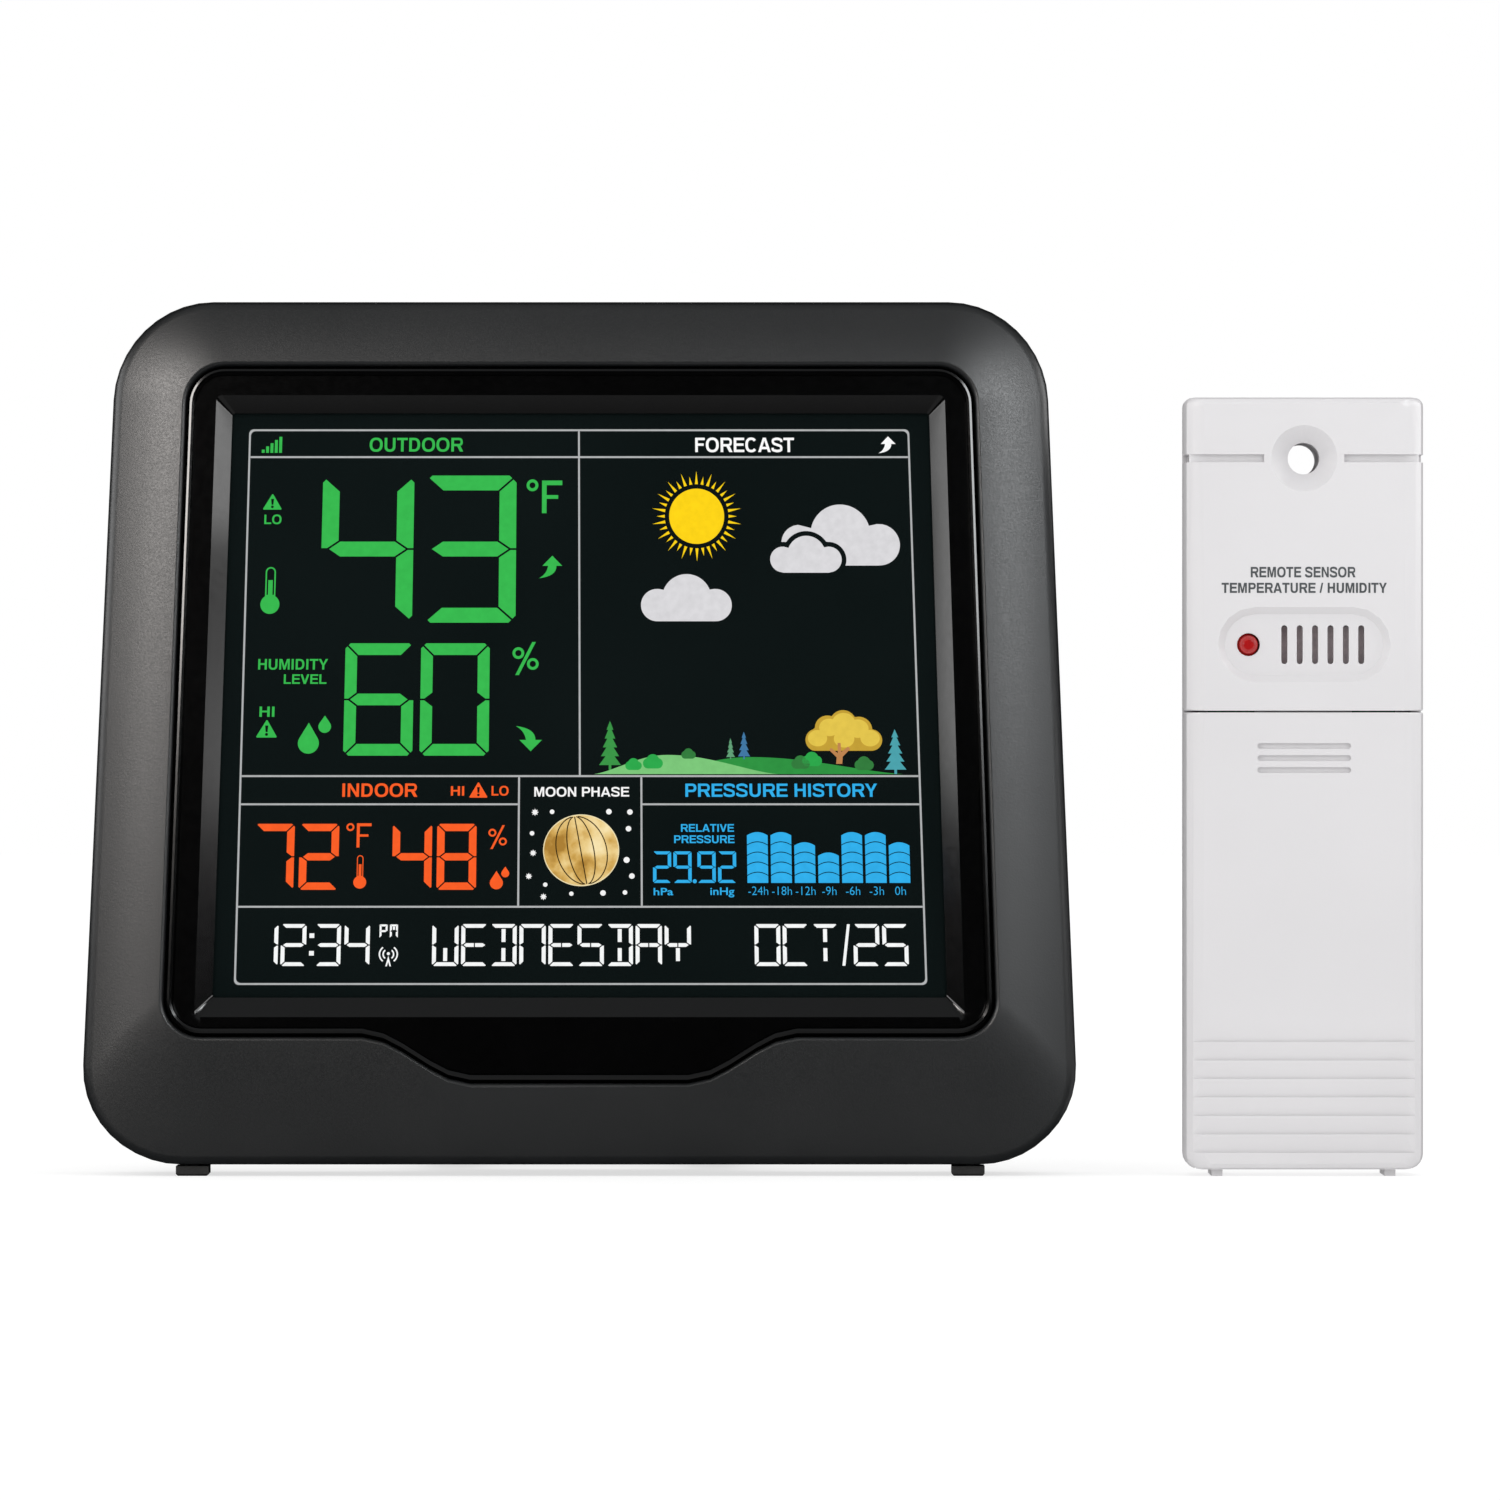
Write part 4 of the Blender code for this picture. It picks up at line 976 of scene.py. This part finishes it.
for name, node in NODES.items():
    smooth(node)
    finish = SPECIAL.get(name) or FINISH[SLOT_OF[name]]
    if node.data.materials:
        node.data.materials[0] = finish
    else:
        node.data.materials.append(finish)

INKS = {
    "screen_grid": ("grid", (178, 180, 181)),
    "screen_outdoor_green": ("green", (57, 185, 80)),
    "screen_indoor_orange": ("orange", (250, 95, 40)),
    "screen_forecast_white": ("white", (250, 250, 250)),
    "screen_forecast_sun": ("yellow", (253, 212, 25)),
    "screen_forecast_cloud": ("cloud", (217, 216, 219)),
    "screen_hill_dark": ("hill_dark", (48, 146, 66)),
    "screen_hill_light": ("hill_light", (124, 198, 122)),
    "screen_bush_light": ("bush_light", (46, 168, 76)),
    "screen_bush_dark": ("bush_dark", (52, 124, 62)),
    "screen_pine_green": ("pine_green", (60, 150, 72)),
    "screen_pine_grey": ("pine_grey", (98, 160, 120)),
    "screen_pine_blue": ("pine_blue", (66, 120, 164)),
    "screen_pine_teal": ("pine_teal", (76, 162, 172)),
    "screen_tree_crown": ("crown", (226, 196, 78)),
    "screen_tree_shade": ("shade", (196, 160, 56)),
    "screen_tree_trunk": ("trunk", (190, 132, 82)),
    "screen_moon_white": ("moon_white", (245, 245, 245)),
    "screen_moon_rim": ("rim", (240, 225, 180)),
    "screen_moon_lines": ("moon_lines", (58, 44, 20)),
    "screen_pressure_blue": ("blue", (50, 175, 235)),
    "screen_strip_white": ("strip", (246, 248, 248)),
}
# Depths in millimetres: the screen's plates stand on the glass, each layer a step nearer the front.
ART_FRONT, ART_STEP, ART_THICK = PANEL_FRONT - 0.03, 0.03, 0.02
LABEL_FRONT, LABEL_THICK = -0.03, 0.025
SEAM_FRONT, SEAM_THICK, SEAM_WIDE = 12.02, 0.26, 1.2
SEAM_HALF, SEAM_LOW, SEAM_HIGH, SEAM_CORNER = 78.9, 2.1, 143.85, 15.2


def screen_piece(group):
    """The plates of one colour on the screen."""
    piece = build_art(group, on_face, ART_FRONT, ART_STEP, ART_THICK)
    if group == "screen_moon":
        piece.data.materials.append(moon_finish())
    elif group == "screen_cloud_gap":
        piece.data.materials.append(FINISH["lcd_glass"])
    else:
        label, levels = INKS[group]
        piece.data.materials.append(ink("ink_" + label, levels))
    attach(piece, "display")


def label_piece():
    label = build_art("sensor_label", on_sensor, LABEL_FRONT, 0, LABEL_THICK)
    label.data.materials.append(plastic("label_ink", (0.052, 0.060, 0.066), 0.5, 0.3, 0.002))
    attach(label, "sensor")


def seam_lip():
    """The lip between the walls of the frame and the rear case, which keeps light out of their seam."""
    shape("case_seam_lip", [
        oblong(inset - SEAM_HALF, SEAM_LOW + inset, SEAM_HALF - inset, SEAM_HIGH - inset, SEAM_CORNER - inset)
        for inset in (0, SEAM_WIDE)])
    lip = build_art("case_seam_lip", on_face, SEAM_FRONT, 0, SEAM_THICK)
    lip.data.materials.append(FINISH["charcoal"])
    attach(lip, "display")


for group in ART:
    if group != "sensor_label":
        screen_piece(group)
label_piece()
seam_lip()

# ---------------------------------------------------------------- studio

FLOOR_REACH = 6.0
WHITE = (1.0, 1.0, 1.0)


def white_room():
    """An even white room and a pale floor, neither of which shows in gloss."""
    world = bpy.data.worlds.new("white_room")
    world.use_nodes = True
    world.node_tree.nodes["Background"].inputs["Color"].default_value = (*WHITE, 1.0)
    world.node_tree.nodes["Background"].inputs["Strength"].default_value = 1.0
    world.cycles_visibility.glossy = False
    SCENE.world = world

    reach = FLOOR_REACH
    mesh = bpy.data.meshes.new("floor")
    mesh.from_pydata([(-reach, -reach, 0), (reach, -reach, 0), (reach, reach, 0), (-reach, reach, 0)],
                     [], [(0, 1, 2, 3)])
    floor = bpy.data.objects.new("floor", mesh)
    SCENE.collection.objects.link(floor)
    made, tree, shader = nodes_of("floor_white")
    drift(tree, shader.inputs["Base Color"], 60, 3, (0.36, 0.36, 0.36), (0.38, 0.38, 0.38))
    shader.inputs["Roughness"].default_value = 0.9
    shader.inputs["Specular IOR Level"].default_value = 0.0
    shader.inputs["Emission Color"].default_value = (*WHITE, 1.0)
    shader.inputs["Emission Strength"].default_value = 0.68
    mesh.materials.append(made)
    floor.visible_glossy = False


def softbox(name, azimuth, elevation, distance, size, watts, colour, aim, sheen_only=False):
    """A rectangular lamp; azimuth is turned from straight in front, positive to the right.

    A lamp that is sheen_only shows in gloss and sheen and doesn't light matt surfaces.
    """
    lamp = bpy.data.lights.new(name, "AREA")
    lamp.shape = "RECTANGLE"
    lamp.size, lamp.size_y = size
    lamp.energy = watts
    lamp.color = colour
    made = bpy.data.objects.new(name, lamp)
    turn, lift = math.radians(azimuth), math.radians(elevation)
    away = Vector((math.sin(turn) * math.cos(lift), -math.cos(turn) * math.cos(lift), math.sin(lift)))
    target = Vector(aim)
    made.location = target + away * distance
    made.rotation_euler = away.to_track_quat("Z", "Y").to_euler()
    made.visible_camera = False
    made.visible_diffuse = not sheen_only
    SCENE.collection.objects.link(made)


CAMERA_PLACE = Vector((-0.459, -2036.835, 70.2)) * MM
CAMERA_LENS, CAMERA_SENSOR = 291.84, 36.0


def camera():
    """A long lens two metres in front, level with the middle of the display."""
    data = bpy.data.cameras.new("camera")
    data.lens, data.sensor_width = CAMERA_LENS, CAMERA_SENSOR
    data.clip_start, data.clip_end = 0.1, 20.0
    made = bpy.data.objects.new("camera", data)
    made.location = CAMERA_PLACE
    made.rotation_euler = (math.pi / 2, 0.0, 0.0)
    SCENE.collection.objects.link(made)
    SCENE.camera = made


white_room()
camera()
WARM, COOL = (1.0, 0.955, 0.92), (0.96, 0.985, 1.0)
BOX_SIZE, SHEEN_SIZE, SIDE_SIZE = (0.14, 0.24), (0.12, 0.16), (0.2, 0.16)
SIDE_AIM = (-0.03, -0.035, 0.12)
softbox("left_box", -25, 24, 0.55, BOX_SIZE, 0.265, WARM, aim=(-0.10, -0.03, 0.10))
softbox("right_box", 25, 24, 0.55, BOX_SIZE, 0.225, COOL, aim=(0.04, -0.03, 0.10))
softbox("left_sheen", -25, 22, 0.40, SHEEN_SIZE, 0.98, WARM, aim=(-0.105, -0.03, 0.13), sheen_only=True)
softbox("right_sheen", 25, 22, 0.40, SHEEN_SIZE, 0.72, COOL, aim=(0.05, -0.03, 0.13), sheen_only=True)
softbox("left_side", -85, 12, 0.31, SIDE_SIZE, 0.38, WHITE, aim=SIDE_AIM, sheen_only=True)
softbox("right_side", 85, 12, 0.31, SIDE_SIZE, 0.44, WHITE, aim=SIDE_AIM, sheen_only=True)
softbox("overhead", 0, 65, 0.6, (0.7, 0.7), 0.45, COOL, aim=(0.0, -0.03, 0.08))
softbox("floor_glow", 0, -88, 0.128, (0.3, 0.1), 0.032, WHITE, aim=(-0.03, -0.10, 0.13), sheen_only=True)
SCENE.view_settings.view_transform = "Standard"
SCENE.view_settings.look = "None"
